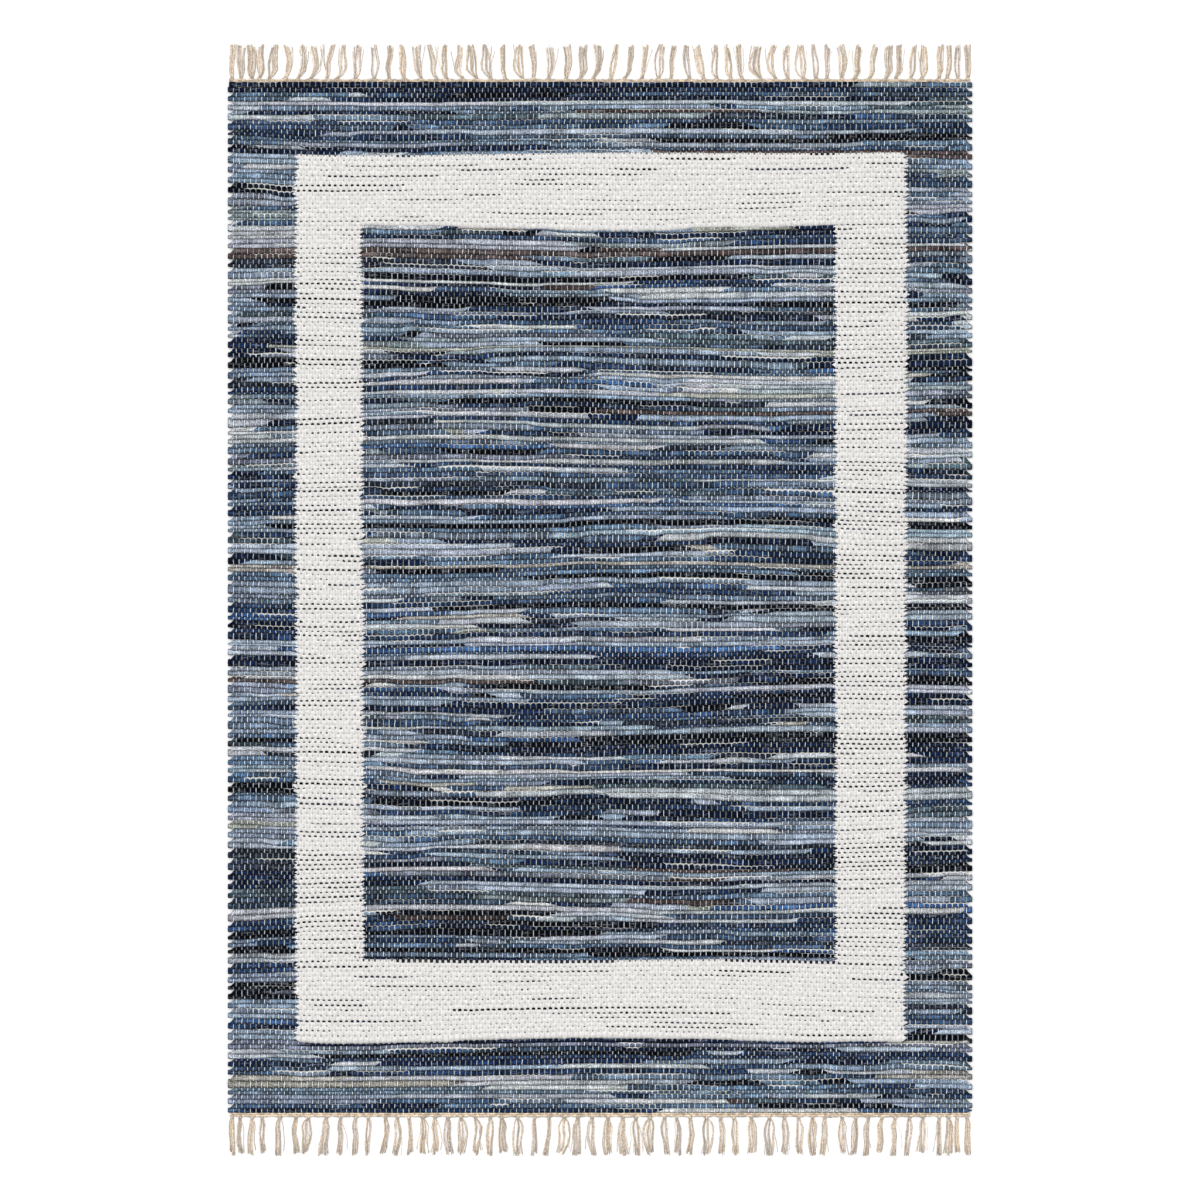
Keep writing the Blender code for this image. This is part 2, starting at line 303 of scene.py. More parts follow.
# Painted shade on the denim beside each crossing, darkest at the crossing
PAINTED_SHADE_AT_CROSSINGS = (0.12, 0.48, 0.46, 1.0)  # from a crossing to the bead
RAW_EDGE_ARCH = (0.0, 0.6, -0.92, -0.56)  # from a crossing to the bead
RAW_EDGE_LEVEL = 1.02
RAW_EDGE_FRAYING = 0.8
DASH_STARTS = (-0.36, 0.80)  # for each unit of strength, and without any
DASH_DEPTHS = (-0.30, 0.53)
DASH_RANGE = (0.0, 0.55, 0.30, 1.0)
# The dashes show the denim behind the white rags, darkened to this share as painted shade
DASH_DENIM_SHADE = 0.12
TEETH = (-0.0100, 0.0038)  # on the frame's sides: for each half row off the crest, and at the crest
TEETH_RAGGEDNESS = 0.004
# Painted light on the white rags towards their edges, against the grooves' shade
PAINTED_LIGHT_AT_WHITE_EDGES = (0.30, 0.62, 1.0, 1.16)
# Painted shade on the white rags beside each crossing
WHITE_SHADE_AT_CROSSINGS = (0.12, 0.38, 0.84, 1.0)
DOWNWARD = -0.15  # normals below this belong to the underside
UNDER_CROSSING = 0.84  # from here to the middle of a bead a crossing shows below

# Stage
FLOOR_HALF = 30.0
FLOOR_CLOUDS = ((1.0, 1.0, 1.0), 1.5, 2.0)
FLOOR_RANGE = (0.3, 0.7, 0.995, 1.0)
LAMP_SPREAD = math.radians(50.0)
LAMP_TURN = (math.radians(-18.0), math.radians(-14.0), 0.0)
VIEW_END = 100.0


def to_linear(colour):
    """A colour from 0 to 255 as the linear values that shaders take."""
    share = np.asarray(colour, float) / 255.0
    return np.where(share <= 0.04045, share / 12.92, ((share + 0.055) / 1.055) ** 2.4)


def between(first, second, share):
    """A value on the way from the first to the second."""
    return first + (second - first) * share


def length_setting(name, description, default):
    """A length that a user may change."""
    return bpy.props.FloatProperty(
        name=name, description=description, default=default, unit="LENGTH", subtype="DISTANCE",
    )


def colour_setting(name, description, default):
    """A colour that a user may change."""
    return bpy.props.FloatVectorProperty(
        name=name, description=description, default=default, size=3, min=0.0, max=1.0, subtype="COLOR",
    )


class RugWeave(bpy.types.PropertyGroup):
    """Sizes of the woven cloth."""

    width: length_setting("Width", "Over the tips of the weft's turns", CLOTH_HIGH.x - CLOTH_LOW.x)
    near_end: length_setting("Near end", "Y of the cloth's near end", CLOTH_LOW.y + DRAWN_IN)
    far_end: length_setting("Far end", "Y of the cloth's far end", CLOTH_HIGH.y - DRAWN_IN)
    crest: length_setting("Thickness", "Height of a full bead above the floor", CLOTH_HIGH.z - CREST_ROOM)
    short_end: length_setting("Short end", "How far from the edge each second row stops", 0.0085)
    rows: bpy.props.IntProperty(
        name="Rows", description="Weft rows from end to end", default=222, min=8,
    )
    crossings: bpy.props.IntProperty(
        name="Crossings", description="Warp ends that cross over each row", default=130, min=8,
    )
    seed: bpy.props.IntProperty(
        name="Rags", description="Which rags the weaver picked up", default=207, min=0,
    )


class RugColours(bpy.types.PropertyGroup):
    """Colours of the rags and yarns."""

    denim_depth: bpy.props.FloatProperty(
        name="Denim lightness", description="Scales the colour of all denim rags",
        default=1.0, min=0.0, subtype="FACTOR",
    )
    white_rag: colour_setting("White rag", "Rags of the woven frame", (0.748, 0.732, 0.714))
    raw_edge: colour_setting("Raw edge", "Frayed edges of the rags", (0.94, 0.92, 0.87))
    warp: colour_setting("Warp", "Cotton ends that cross over the rows", (0.64, 0.673, 0.703))
    tassel: colour_setting("Tassel", "Cotton of the headings and tassels", (0.79, 0.655, 0.505))
    rosy_tassel: colour_setting("Rosy tassel", "Paler, rosier cotton of some tassels", (0.76, 0.655, 0.565))


class RugFringe(bpy.types.PropertyGroup):
    """Sizes of the headings and tassels."""

    far_reach: length_setting(
        "Far reach", "From the cloth's far end to the longest tip", FAR_HIGH.y - CLOTH_HIGH.y + DRAWN_IN,
    )
    near_reach: length_setting(
        "Near reach", "From the cloth's near end to the longest tip", CLOTH_LOW.y - NEAR_LOW.y + DRAWN_IN,
    )
    tassels: bpy.props.IntProperty(
        name="Tassels", description="Tassels at each end", default=54, min=8,
    )


class RugStage(bpy.types.PropertyGroup):
    """Floor, light and camera."""

    view_width: length_setting("View width", "Width of floor that the picture takes in", 1.970)
    lens: bpy.props.FloatProperty(
        name="Lens", description="Focal length, in millimetres", default=100.0, min=10.0,
    )
    sky: bpy.props.FloatProperty(
        name="Sky", description="Strength of the even light from all sides", default=0.78, min=0.0,
    )
    lamp: bpy.props.FloatProperty(
        name="Lamp", description="Strength of the soft lamp from above", default=1.50, min=0.0,
    )
    floor: colour_setting("Floor", "Colour of the floor", (0.90, 0.90, 0.90))


class RagRug(bpy.types.PropertyGroup):
    """All settings of the rug."""

    weave: bpy.props.PointerProperty(name="Weave", description="Sizes of the cloth", type=RugWeave)
    colours: bpy.props.PointerProperty(name="Colours", description="Rags and yarns", type=RugColours)
    fringe: bpy.props.PointerProperty(name="Fringe", description="Headings and tassels", type=RugFringe)
    stage: bpy.props.PointerProperty(name="Stage", description="Floor, light, camera", type=RugStage)


class RagLine:
    """The rag strips joined end to end, in the order in which the weft takes them up."""

    def __init__(self, length, seed, depth):
        rng = np.random.default_rng(seed)
        count = int(length / USUAL_STRIP) + SPARE_STRIPS
        lengths = USUAL_STRIP * np.exp(STRIP_VARIETY * rng.normal(0.0, 1.0, count))
        lengths = np.clip(lengths, SHORTEST_STRIP, LONGEST_STRIP)
        self.starts = np.cumsum(lengths) - lengths[0] - WEDGES[1]
        shares = np.array([share for _, share in RAG_SHADES])
        picks = rng.choice(len(RAG_SHADES), count, p=shares / shares.sum())
        for strip in range(1, count):
            if rng.random() < SAME_GARMENT:
                picks[strip] = picks[strip - 1]
        shades = np.array([to_linear(colour) for colour, _ in RAG_SHADES])[picks] * depth
        shades *= np.exp(rng.normal(0.0, STRIP_LIGHTNESS, (count, 1)))
        shades *= np.exp(rng.normal(0.0, CHANNEL_TINT, (count, 3)))
        self.shades = np.minimum(shades, LIGHTEST_STRIP)
        self.stoutness = np.clip(rng.normal(0.0, 1.0, count), -GREATEST_STOUTNESS, GREATEST_STOUTNESS)
        room = np.minimum(lengths, np.roll(lengths, 1)) * WEDGE_SHARE
        self.wedges = np.minimum(rng.uniform(*WEDGES, count), room)
        self.sides = rng.choice((-1.0, 1.0), count)

    def nearest_join(self, place):
        """The join nearest to each place, and how far the new strip has taken over there."""
        strip = np.searchsorted(self.starts, place, side="right") - 1
        strip = np.clip(strip, 1, len(self.starts) - 2)
        nearer_end = place - self.starts[strip] > self.starts[strip + 1] - place
        join = strip + nearer_end
        share = np.clip((place - self.starts[join]) / self.wedges[join] + 0.5, 0.0, 1.0)
        return join, share

    def colours(self, place):
        """The strip towards +Y, the strip towards -Y, and the level across the row where they meet."""
        join, share = self.nearest_join(place)
        new, old = self.shades[join], self.shades[join - 1]
        from_above = self.sides[join] > 0.0
        begun, done = share > 0.0, share >= 1.0
        above = np.where((done | (begun & from_above))[..., None], new, old)
        below = np.where((done | (begun & ~from_above))[..., None], new, old)
        return above, below, self.sides[join] * OPEN_JOIN * (1.0 - 2.0 * share)

    def stoutness_at(self, place):
        """How much stouter than usual the weft is, with more where two strips overlap."""
        join, share = self.nearest_join(place)
        mixed = self.stoutness[join - 1] * (1.0 - share) + self.stoutness[join] * share
        return mixed + OVERLAP_STOUTNESS * np.sin(np.pi * share)


def packed_row_edges(weave):
    """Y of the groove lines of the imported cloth, from the near end to the far end."""
    rng = random.Random("cloth")
    widths = [1.0 + ROW_UNEVENNESS * rng.uniform(-1.0, 1.0) for _ in range(weave.rows)]
    edges = np.concatenate([[0.0], np.cumsum(widths)])
    return weave.near_end + edges * (weave.far_end - weave.near_end) / edges[-1]


def drift(x, y, weave):
    """How far the rows have bowed in Y at a place. The ends stay straight."""
    share = (y - weave.near_end) / (weave.far_end - weave.near_end)
    waves = sum(
        height * np.sin(math.tau * (x / wave_x + y / wave_y) + phase)
        for height, wave_x, wave_y, phase in DRIFT_WAVES
    )
    return (1.0 - (2.0 * share - 1.0) ** STRAIGHT_ENDS) * waves


class WeavePlan:
    """Where each row runs, and what shows along it, on a regular grid of columns in X."""

    def __init__(self, weave, colours):
        self.rows = weave.rows
        self.half = weave.width / 2
        self.ends = (weave.near_end, weave.far_end)
        self.crest = weave.crest
        # The half bead puts each row's crossings between those of the rows beside it
        self.bead = weave.width / (weave.crossings + 2.0 * FIRST_CROSSING - 0.5)
        self.crossings = weave.crossings
        self.row_length = weave.width - weave.short_end
        self.rags = RagLine(self.rows * self.row_length, weave.seed, colours.denim_depth)
        self.grid = np.linspace(-self.half, self.half, GRID_COLUMNS)
        rng = np.random.default_rng(weave.seed + 1)
        self.pitch = (weave.far_end - weave.near_end) / self.rows
        self.edges = self.lay_rows(weave)
        self.frame_edges = self.cut_frame(rng)
        self.seams = self.mark_seams(rng)
        beads = (self.rows, self.crossings + SPARE_BEADS)
        self.bead_centres = np.arange(beads[1]) - 0.5
        tones = rng.normal(0.0, BEAD_LIGHTNESS, beads)
        self.bead_tones = np.exp((tones + np.roll(tones, 1, axis=1)) / math.sqrt(2.0))
        self.crests = rng.random(beads)
        self.swells = 1.0 + BEAD_SWELL * rng.normal(0.0, 1.0, beads)

    def direction(self, row):
        """+1 for a row that the weft runs from left to right, and -1 for one from right to left."""
        return 1.0 - 2.0 * (row % 2)

    def weft_place(self, row, x):
        """Length of weft laid down, from the far end on, before it comes to X in a row."""
        return (self.rows - 1 - row) * self.row_length + self.half + self.direction(row) * x

    def has_white_rows(self, row):
        """Whether a row is one of the white frame's two ends."""
        return any(first <= row < last for first, last in (WHITE_NEAR_ROWS, WHITE_FAR_ROWS))

    def beside_white(self, row):
        """Whether a row crosses the white frame's two sides."""
        return WHITE_NEAR_ROWS[1] <= row < WHITE_FAR_ROWS[0]

    def near_white(self, row):
        """Whether each column of a row is in the white frame, before the frame's edges are cut."""
        outer = (self.grid > FRAME_OUTER_X[0]) & (self.grid < FRAME_OUTER_X[1])
        inner = (self.grid > FRAME_INNER_X[0]) & (self.grid < FRAME_INNER_X[1])
        if self.has_white_rows(row):
            return outer
        return outer & ~inner & self.beside_white(row)

    def lay_rows(self, weave):
        """Y of each row's edges at each column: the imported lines, with strays for stout and thin rags."""
        edges = packed_row_edges(weave)
        spread = np.array(STRAY_SPREAD) / sum(STRAY_SPREAD)
        stray = np.zeros(GRID_COLUMNS)
        laid = [edges[0] + stray]
        for row in range(self.rows):
            stout = self.rags.stoutness_at(self.weft_place(row, self.grid))
            stout = np.where(self.near_white(row), stout * WHITE_STOUTNESS, stout)
            stout = np.convolve(np.pad(stout, len(spread) // 2, mode="edge"), spread, mode="valid")
            stray = STRAY_MEMORY * stray + STRAY_GAIN * self.pitch * stout
            from_end = min(row + 1, self.rows - row - 1)
            y = edges[row + 1]
            laid.append(y + stray * min(1.0, from_end / STRAY_END_ROWS) + drift(self.grid, y, weave))
        return np.array(laid)

    def cut_frame(self, rng):
        """X of the white frame's outer and inner edges in each row, from left to right."""
        middles = self.edges[:, GRID_COLUMNS // 2]
        y = (middles[:-1] + middles[1:]) / 2
        straight = np.array((FRAME_OUTER_X[0], *FRAME_INNER_X, FRAME_OUTER_X[1]))
        edges = straight[:, None] + np.array(FRAME_LEANS)[:, None] * y
        return edges + FRAME_JITTER * rng.normal(0.0, 1.0, edges.shape)

    def border(self, row, x):
        """How far inside the white frame a place in a row is, along X."""
        outer_left, inner_left, inner_right, outer_right = self.frame_edges[:, row]
        if self.has_white_rows(row):
            return np.minimum(x - outer_left, outer_right - x)
        if self.beside_white(row):
            left = np.minimum(x - outer_left, inner_left - x)
            right = np.minimum(x - inner_right, outer_right - x)
            return np.maximum(left, right)
        return np.full_like(x, BEYOND_FRAME)

    def whiteness(self, border):
        """0 in the denim, 1 in the white frame, and between them over a short length."""
        return np.clip(border / WHITE_EASE + 0.5, 0.0, 1.0)

    def flatness(self, row, x):
        """How far a row has the white rows' flatter form, which the rows beside them partly share."""
        beside = [self.border(near, x) for near in (row - 1, row + 1) if 0 <= near < self.rows]
        shared = SHARED_FLATNESS * self.whiteness(np.max(beside, axis=0))
        return np.maximum(self.whiteness(self.border(row, x)), shared)

    def with_runs(self, marks, rng, average, lengths, strengths, rareness):
        """Marks along a row with a few random runs over them. Rareness holds the strong ones back."""
        for _ in range(rng.poisson(average)):
            start = rng.uniform(-self.half, self.half)
            end = start + rng.uniform(*lengths)
            inside = np.minimum(self.grid - start, end - self.grid) / self.bead
            strength = between(*strengths, rng.random() ** rareness)
            marks = np.maximum(marks, strength * np.clip(inside, 0.0, 1.0))
        return marks

    def mark_seams(self, rng):
        """Strength of the raw edges and dashes along the +Y side of each row."""
        seams = []
        for row in range(self.rows):
            marks = self.with_runs(
                np.zeros(GRID_COLUMNS), rng, RAW_EDGES_A_ROW, RAW_EDGE_LENGTHS, RAW_EDGE_STRENGTHS, 2)
            white = self.border(row, self.grid) > 0.0
            seams.append(np.where(white, self.dashes(row, rng), marks))
        return np.array(seams)

    def dashes(self, row, rng):
        """Strength of the dark dashes between white beads, where the denim behind them shows, darkened as
        painted shade.
        """
        marks = rng.uniform(*FAINT_DASHES, GRID_COLUMNS)
        marks = self.with_runs(marks, rng, DASH_RUNS_A_ROW, DASH_RUN_LENGTHS, DASH_STRENGTHS, 1)
        if not self.beside_white(row):
            return marks
        behind, _, _ = self.rags.colours(self.weft_place(row, self.grid))
        darkness = np.clip(1.0 - behind.mean(axis=-1) / PALE_BEHIND, 0.0, 1.0)
        pale, dark = SIDE_DASHES
        return np.maximum(marks, (pale + dark * darkness) * rng.uniform(*SIDE_DASH_VARIETY))

    def along_row(self, lines, row, x):
        """Values of a grid's line at the places X."""
        return np.interp(x, self.grid, lines[row])

    def row_edges(self, row, x):
        """Y of a row's two edges at the places X."""
        return self.along_row(self.edges, row, x), self.along_row(self.edges, row + 1, x)

    def by_bead(self, lines, row, along):
        """Values that the beads of a row have, at places counted in beads from its first crossing."""
        return np.interp(along, self.bead_centres, lines[row])


def new_mesh(bm, name):
    """A finished bmesh as a mesh."""
    mesh = bpy.data.meshes.new(name)
    bm.to_mesh(mesh)
    bm.free()
    return mesh


def array_copies(mesh, steps):
    """A mesh repeated by Array modifiers. Each step is a count, an offset and the map's shift in U and V."""
    source = bpy.data.objects.new("template", mesh)
    bpy.context.collection.objects.link(source)
    for count, offset, shift in steps:
        array = source.modifiers.new("Copies", "ARRAY")
        array.use_relative_offset = False
        array.use_constant_offset = True
        array.constant_offset_displace = offset
        array.count = count
        array.offset_u, array.offset_v = shift
    graph = bpy.context.evaluated_depsgraph_get()
    copies = bpy.data.meshes.new_from_object(source.evaluated_get(graph))
    bpy.data.objects.remove(source)
    bpy.data.meshes.remove(mesh)
    return copies


def mesh_points(mesh):
    """A mesh's vertices as an array."""
    points = np.empty(len(mesh.vertices) * 3, np.float32)
    mesh.vertices.foreach_get("co", points)
    return points.reshape(-1, 3).astype(float)


def set_points(mesh, points):
    """Put a mesh's vertices at the places in an array."""
    mesh.vertices.foreach_set("co", np.asarray(points, np.float32).ravel())
    mesh.update()


def set_values(mesh, name, values):
    """Give each vertex a number or a colour under a name that materials read."""
    values = np.asarray(values, np.float32)
    if values.ndim == 1:
        layer = mesh.attributes.new(name, "FLOAT", "POINT")
        layer.data.foreach_set("value", values)
        return
    opaque_values = np.concatenate([values, np.ones((len(values), 1), np.float32)], axis=1)
    layer = mesh.attributes.new(name, "FLOAT_COLOR", "POINT")
    layer.data.foreach_set("color", opaque_values.ravel())


def add_piece(name, mesh, material, node):
    """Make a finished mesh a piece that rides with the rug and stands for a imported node."""
    mesh.name = name
    mesh.shade_smooth()
    mesh.materials.clear()
    mesh.materials.append(material)
    piece = bpy.data.objects.new(name, mesh)
    bpy.context.collection.objects.link(piece)
    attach(piece, "root")
    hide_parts(node)
    return piece


def tube_template(rings, sides, map_height):
    """A closed tube along X, one unit between its rings, with a map laid out as ring by side."""
    bm = bmesh.new()
    stand = Matrix.Rotation(math.pi / 2, 4, "Y")
    bmesh.ops.create_circle(bm, segments=sides, radius=0.5, matrix=stand)
    start = bm.verts[:] + bm.edges[:]
    bmesh.ops.spin(
        bm, geom=start, cent=(0, 0, 0), axis=(1, 0, 0), dvec=(1, 0, 0), angle=0.0, steps=rings - 1,
    )
    bmesh.ops.holes_fill(bm, edges=bm.edges[:], sides=sides)
    bmesh.ops.recalc_face_normals(bm, faces=bm.faces[:])
    layer = bm.loops.layers.uv.new("OFBake")
    for face in bm.faces:
        places = [ring_and_side(loop.vert.co, sides) for loop in face.loops]
        is_cap = len({ring for ring, _ in places}) == 1
        wraps = max(side for _, side in places) - min(side for _, side in places) > 1
        for loop, (ring, side) in zip(face.loops, places):
            if is_cap:
                corner = side * math.tau / sides
                u = CAP_ROOM * (0.5 + CAP_SIZE[0] * math.cos(corner))
                u = u if ring == 0 else 1.0 - u
                v = 0.5 + CAP_SIZE[1] * math.sin(corner)
            else:
                u = CAP_ROOM + (1.0 - 2.0 * CAP_ROOM) * ring / (rings - 1)
                v = (sides if wraps and side == 0 else side) / sides
            loop[layer].uv = (u, v * map_height)
    return new_mesh(bm, "tube")


def ring_and_side(point, sides):
    """Which ring and which side of a tube template a vertex belongs to. Side 0 is the lowest."""
    turn = math.atan2(point[1], -point[2]) / math.tau
    return round(point[0]), round(turn * sides) % sides


def tubes(rings, sides, count, map_height=1.0):
    """Equal tubes in one mesh, with each vertex's ring and how far it lies outwards and upwards."""
    height = map_height / count
    template = tube_template(rings, sides, height)
    ring, side = np.array([ring_and_side(point, sides) for point in mesh_points(template)]).T
    mesh = array_copies(template, [(count, (0.0, 1.0, 0.0), (0.0, height))])
    turn = side * math.tau / sides
    return mesh, ring, np.sin(turn), -np.cos(turn)


def place_on_map(bm, low, high):
    """Move the map of a whole shape into the box between two corners."""
    layer = bm.loops.layers.uv["OFBake"]
    for face in bm.faces:
        for loop in face.loops:
            place = zip(low, high, loop[layer].uv)
            loop[layer].uv = [between(first, last, share) for first, last, share in place]


def row_rings(plan, row):
    """Place in beads from the first tip, fullness, bend in rows and closing of each ring of a row."""
    rings = [(distance, 1.0, bend, closing) for distance, bend, closing in NOSE_RINGS]
    for crossing in range(plan.crossings):
        waist = crossing + FIRST_CROSSING
        rings += [(waist + beside, fullness, 0.0, 1.0) for beside, fullness in WAIST_RINGS]
    last = plan.row_length / plan.bead
    end = FIRST_ROW_RINGS if row == plan.rows - 1 else TURN_RINGS
    rings += [(last + beyond, 1.0, bend, closing) for beyond, bend, closing in end]
    return np.array(rings).T


def row_section(plan, row, x, along, fullness):
    """Ring by ring: a row's edges, its half width in rows, and its lowest, widest and highest places."""
    low, high = plan.row_edges(row, x)
    stout = np.clip((high - low) / plan.pitch - 1.0, THINNEST_ROW, 0.0)
    crest = plan.crest - CREST_UNEVENNESS * plan.by_bead(plan.crests, row, along) + STOUT_CREST * stout
    white = plan.flatness(row, x)
    top = between(between(*WAIST_TOPS, white), crest, fullness)
    full_half = between(*BEAD_HALVES, white) * plan.by_bead(plan.swells, row, along)
    half = between(between(*WAIST_HALVES, white), full_half, fullness)
    return low, high, half, between(*FLOORS, fullness), between(*GIRTH_HEIGHTS, white), top


def toned(shades, tones):
    """Shades made lighter or darker bead by bead, the light ones less."""
    calm = np.clip(1.0 - LIGHT_CALM * shades.mean(axis=-1), 0.0, 1.0)
    return shades * (tones ** calm)[:, None]


def weave_band(plan, first, last):
    """One band of rag rows, each a tube with a waist under every crossing."""
    mesh, ring, outward, upward = tubes(len(row_rings(plan, first)[0]), SIDES, last - first)
    points = []
    values = {}
    for row in range(first, last):
        place, fullness, bend, closing = row_rings(plan, row)
        along = place - FIRST_CROSSING
        direction = plan.direction(row)
        x = direction * (place * plan.bead - plan.half)
        low, high, half, bottom, girth, top = row_section(plan, row, x, along, fullness)
        wide = high - low
        middle = (low + high) / 2 + bend * wide
        middle = np.clip(middle, plan.ends[0] + wide / 2, plan.ends[1] - wide / 2)
        rise = np.where(upward > 0.0, (top - girth)[ring], (girth - bottom)[ring])
        y = middle[ring] + direction * outward * (half * wide * closing)[ring]
        z = girth[ring] + upward * rise * np.minimum(closing[ring], 1.0)
        points.append(np.stack([x[ring], y, z], axis=1))
        above, below, join = plan.rags.colours(plan.weft_place(row, x))
        tones = plan.by_bead(plan.bead_tones, row, along)
        shown = {
            "rag_above": toned(above, tones)[ring],
            "rag_below": toned(below, tones)[ring],
            "join": join[ring],
            "across": direction * outward,
            "along": along[ring],
            "border": plan.border(row, x)[ring],
            "seam": plan.along_row(plan.seams, row, x)[ring],
        }
        for name, value in shown.items():
            values.setdefault(name, []).append(value)
    set_points(mesh, np.concatenate(points))
    for name, rows in values.items():
        set_values(mesh, name, np.concatenate(rows))
    return mesh


def lay_stitches(plan, first, last):
    """The crossings of the warp over a run of rows, each a small bent strip."""
    steps = 1.0 / plan.crossings, 1.0 / (last - first)
    bm = bmesh.new()
    bm.loops.layers.uv.new("OFBake")
    bmesh.ops.create_grid(bm, x_segments=2, y_segments=2, size=0.5, calc_uvs=True)
    place_on_map(
        bm, [STITCH_MARGIN * step for step in steps], [(1.0 - STITCH_MARGIN) * step for step in steps])
    template = new_mesh(bm, "stitch")
    shape = mesh_points(template)
    mesh = array_copies(template, [
        (plan.crossings, (1.0, 0.0, 0.0), (steps[0], 0.0)),
        (last - first, (0.0, 1.0, 0.0), (0.0, steps[1])),
    ])
    across, along = shape[:, 0] * 2, shape[:, 1] * 2
    rng = np.random.default_rng(first)
    points, tints, whites = [], [], []
    for row in range(first, last):
        place = (np.arange(plan.crossings) + FIRST_CROSSING) * plan.bead
        middle = plan.direction(row) * (place - plan.half)
        low, high = (edge[:, None] for edge in plan.row_edges(row, middle))
        lean = rng.normal(0.0, STITCH_LEAN, (plan.crossings, 1))
        x = middle[:, None] + across * STITCH_WIDTH / 2 + lean * along
        y = (low + high) / 2 + along * (high - low) * STITCH_REACH / 2
        white = plan.whiteness(plan.border(row, middle))[:, None]
        flat = plan.flatness(row, middle)[:, None]
        height = between(between(*STITCH_TOPS, flat), between(*STITCH_ENDS, flat), along**2)
        points.append(np.stack([x, y, height - STITCH_EDGE * across**2], axis=-1).reshape(-1, 3))
        above, below, _ = plan.rags.colours(plan.weft_place(row, middle))
        paleness = np.clip((above + below).mean(axis=-1) / 2.0 / PALE_RAG, 0.0, 1.0)[:, None]
        chance = rng.random((plan.crossings, 1))
        tint = chance * (1.0 - RUB_OFF) + RUB_OFF * paleness
        tint += white * (OVER_WHITE + OVER_WHITE_VARIETY * (chance - 0.5) - tint)
        tints.append(np.broadcast_to(tint, x.shape).ravel())
        whites.append(np.broadcast_to(white, x.shape).ravel())
    set_points(mesh, np.concatenate(points))
    set_values(mesh, "tint", np.concatenate(tints))
    set_values(mesh, "second", np.concatenate(whites))
    return mesh


def lay_ground(plan):
    """The warp between the rows, as one ridged sheet from end to end."""
    columns = 4 * plan.crossings
    bm = bmesh.new()
    bmesh.ops.create_grid(bm, x_segments=columns, y_segments=2, size=0.5)
    half = plan.half - GROUND_INSET
    for vert in bm.verts:
        column = round((vert.co.x + 0.5) * columns)
        y = between(*plan.ends, vert.co.y + 0.5)
        vert.co = (2.0 * half * vert.co.x, y, GROUND_HEIGHT + GROUND_RIDGE * (column % 2))
    return new_mesh(bm, "ground")


def tassel_roots(rng, tassels, width):
    """X of each tassel's root, crowded at the corners."""
    pitches = []
    for place in range(tassels - 1):
        from_corner = min(place, tassels - 2 - place)
        crowding = CORNER_CROWDING if from_corner < CORNER_PITCHES else 1.0
        pitches.append(crowding * (1.0 + PITCH_UNEVENNESS * rng.uniform(-1.0, 1.0)))
    scale = (width - 2 * CORNER_ROOM) / sum(pitches)
    roots = [CORNER_ROOM - width / 2]
    for pitch in pitches:
        roots.append(roots[-1] + pitch * scale)
    return roots


def room_beside(roots, place):
    """Half of the width that a tassel may fill without reaching its neighbour's."""
    to_left = roots[place] - roots[place - 1] if place > 0 else 2 * CORNER_ROOM
    to_right = roots[place + 1] - roots[place] if place < len(roots) - 1 else 2 * CORNER_ROOM
    return min(to_left, to_right) / 2


def tassel_locks(name, tassels, width, reach):
    """For each tassel its root, its room and its locks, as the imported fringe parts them."""
    rng = random.Random(name)
    roots = tassel_roots(rng, tassels, width)
    found = []
    for place, root in enumerate(roots):
        room = room_beside(roots, place)
        count = 3 if rng.random() < SHARE_OF_THREES else 2
        full_width = count * LOCK_RINGS[-1][1] + (count - 1) * LOCK_GAP
        fit = min(1.0, (2 * room - LOCK_GAP) / full_width)
        play = room - (full_width * fit + LOCK_GAP) / 2
        sways = [rng.uniform(-1.0, 1.0) * min(limit, play) for *_, limit in LOCK_RINGS]
        locks = []
        for order in range(count):
            longest = place == tassels // 2 and order == 0
            tip = reach * (1.0 if longest else 1.0 - TIP_UNEVENNESS * rng.random())
            spread = [(order - (count - 1) / 2) * (wide + LOCK_GAP) * fit for _, wide, _ in LOCK_RINGS]
            xs = [root + sway + aside for sway, aside in zip(sways, spread)]
            locks.append((xs, [wide * fit for _, wide, _ in LOCK_RINGS], tip))
        found.append((root, room, locks))
    return found


def tie_knots(tassels, name, rng):
    """X of each tassel's knot, pulled to one side of its root, partly with its neighbours'."""
    knots = []
    for root, room, _ in tassels:
        wavelength, start = PULL_WAVE
        together = math.sin(math.tau * (root - start) / wavelength)
        share = PULLED_TOGETHER * together + (1.0 - PULLED_TOGETHER) * rng.uniform(-1.0, 1.0)
        knots.append(root + share * min(KNOT_PULLS[name], room * PULL_ROOM))
    return knots


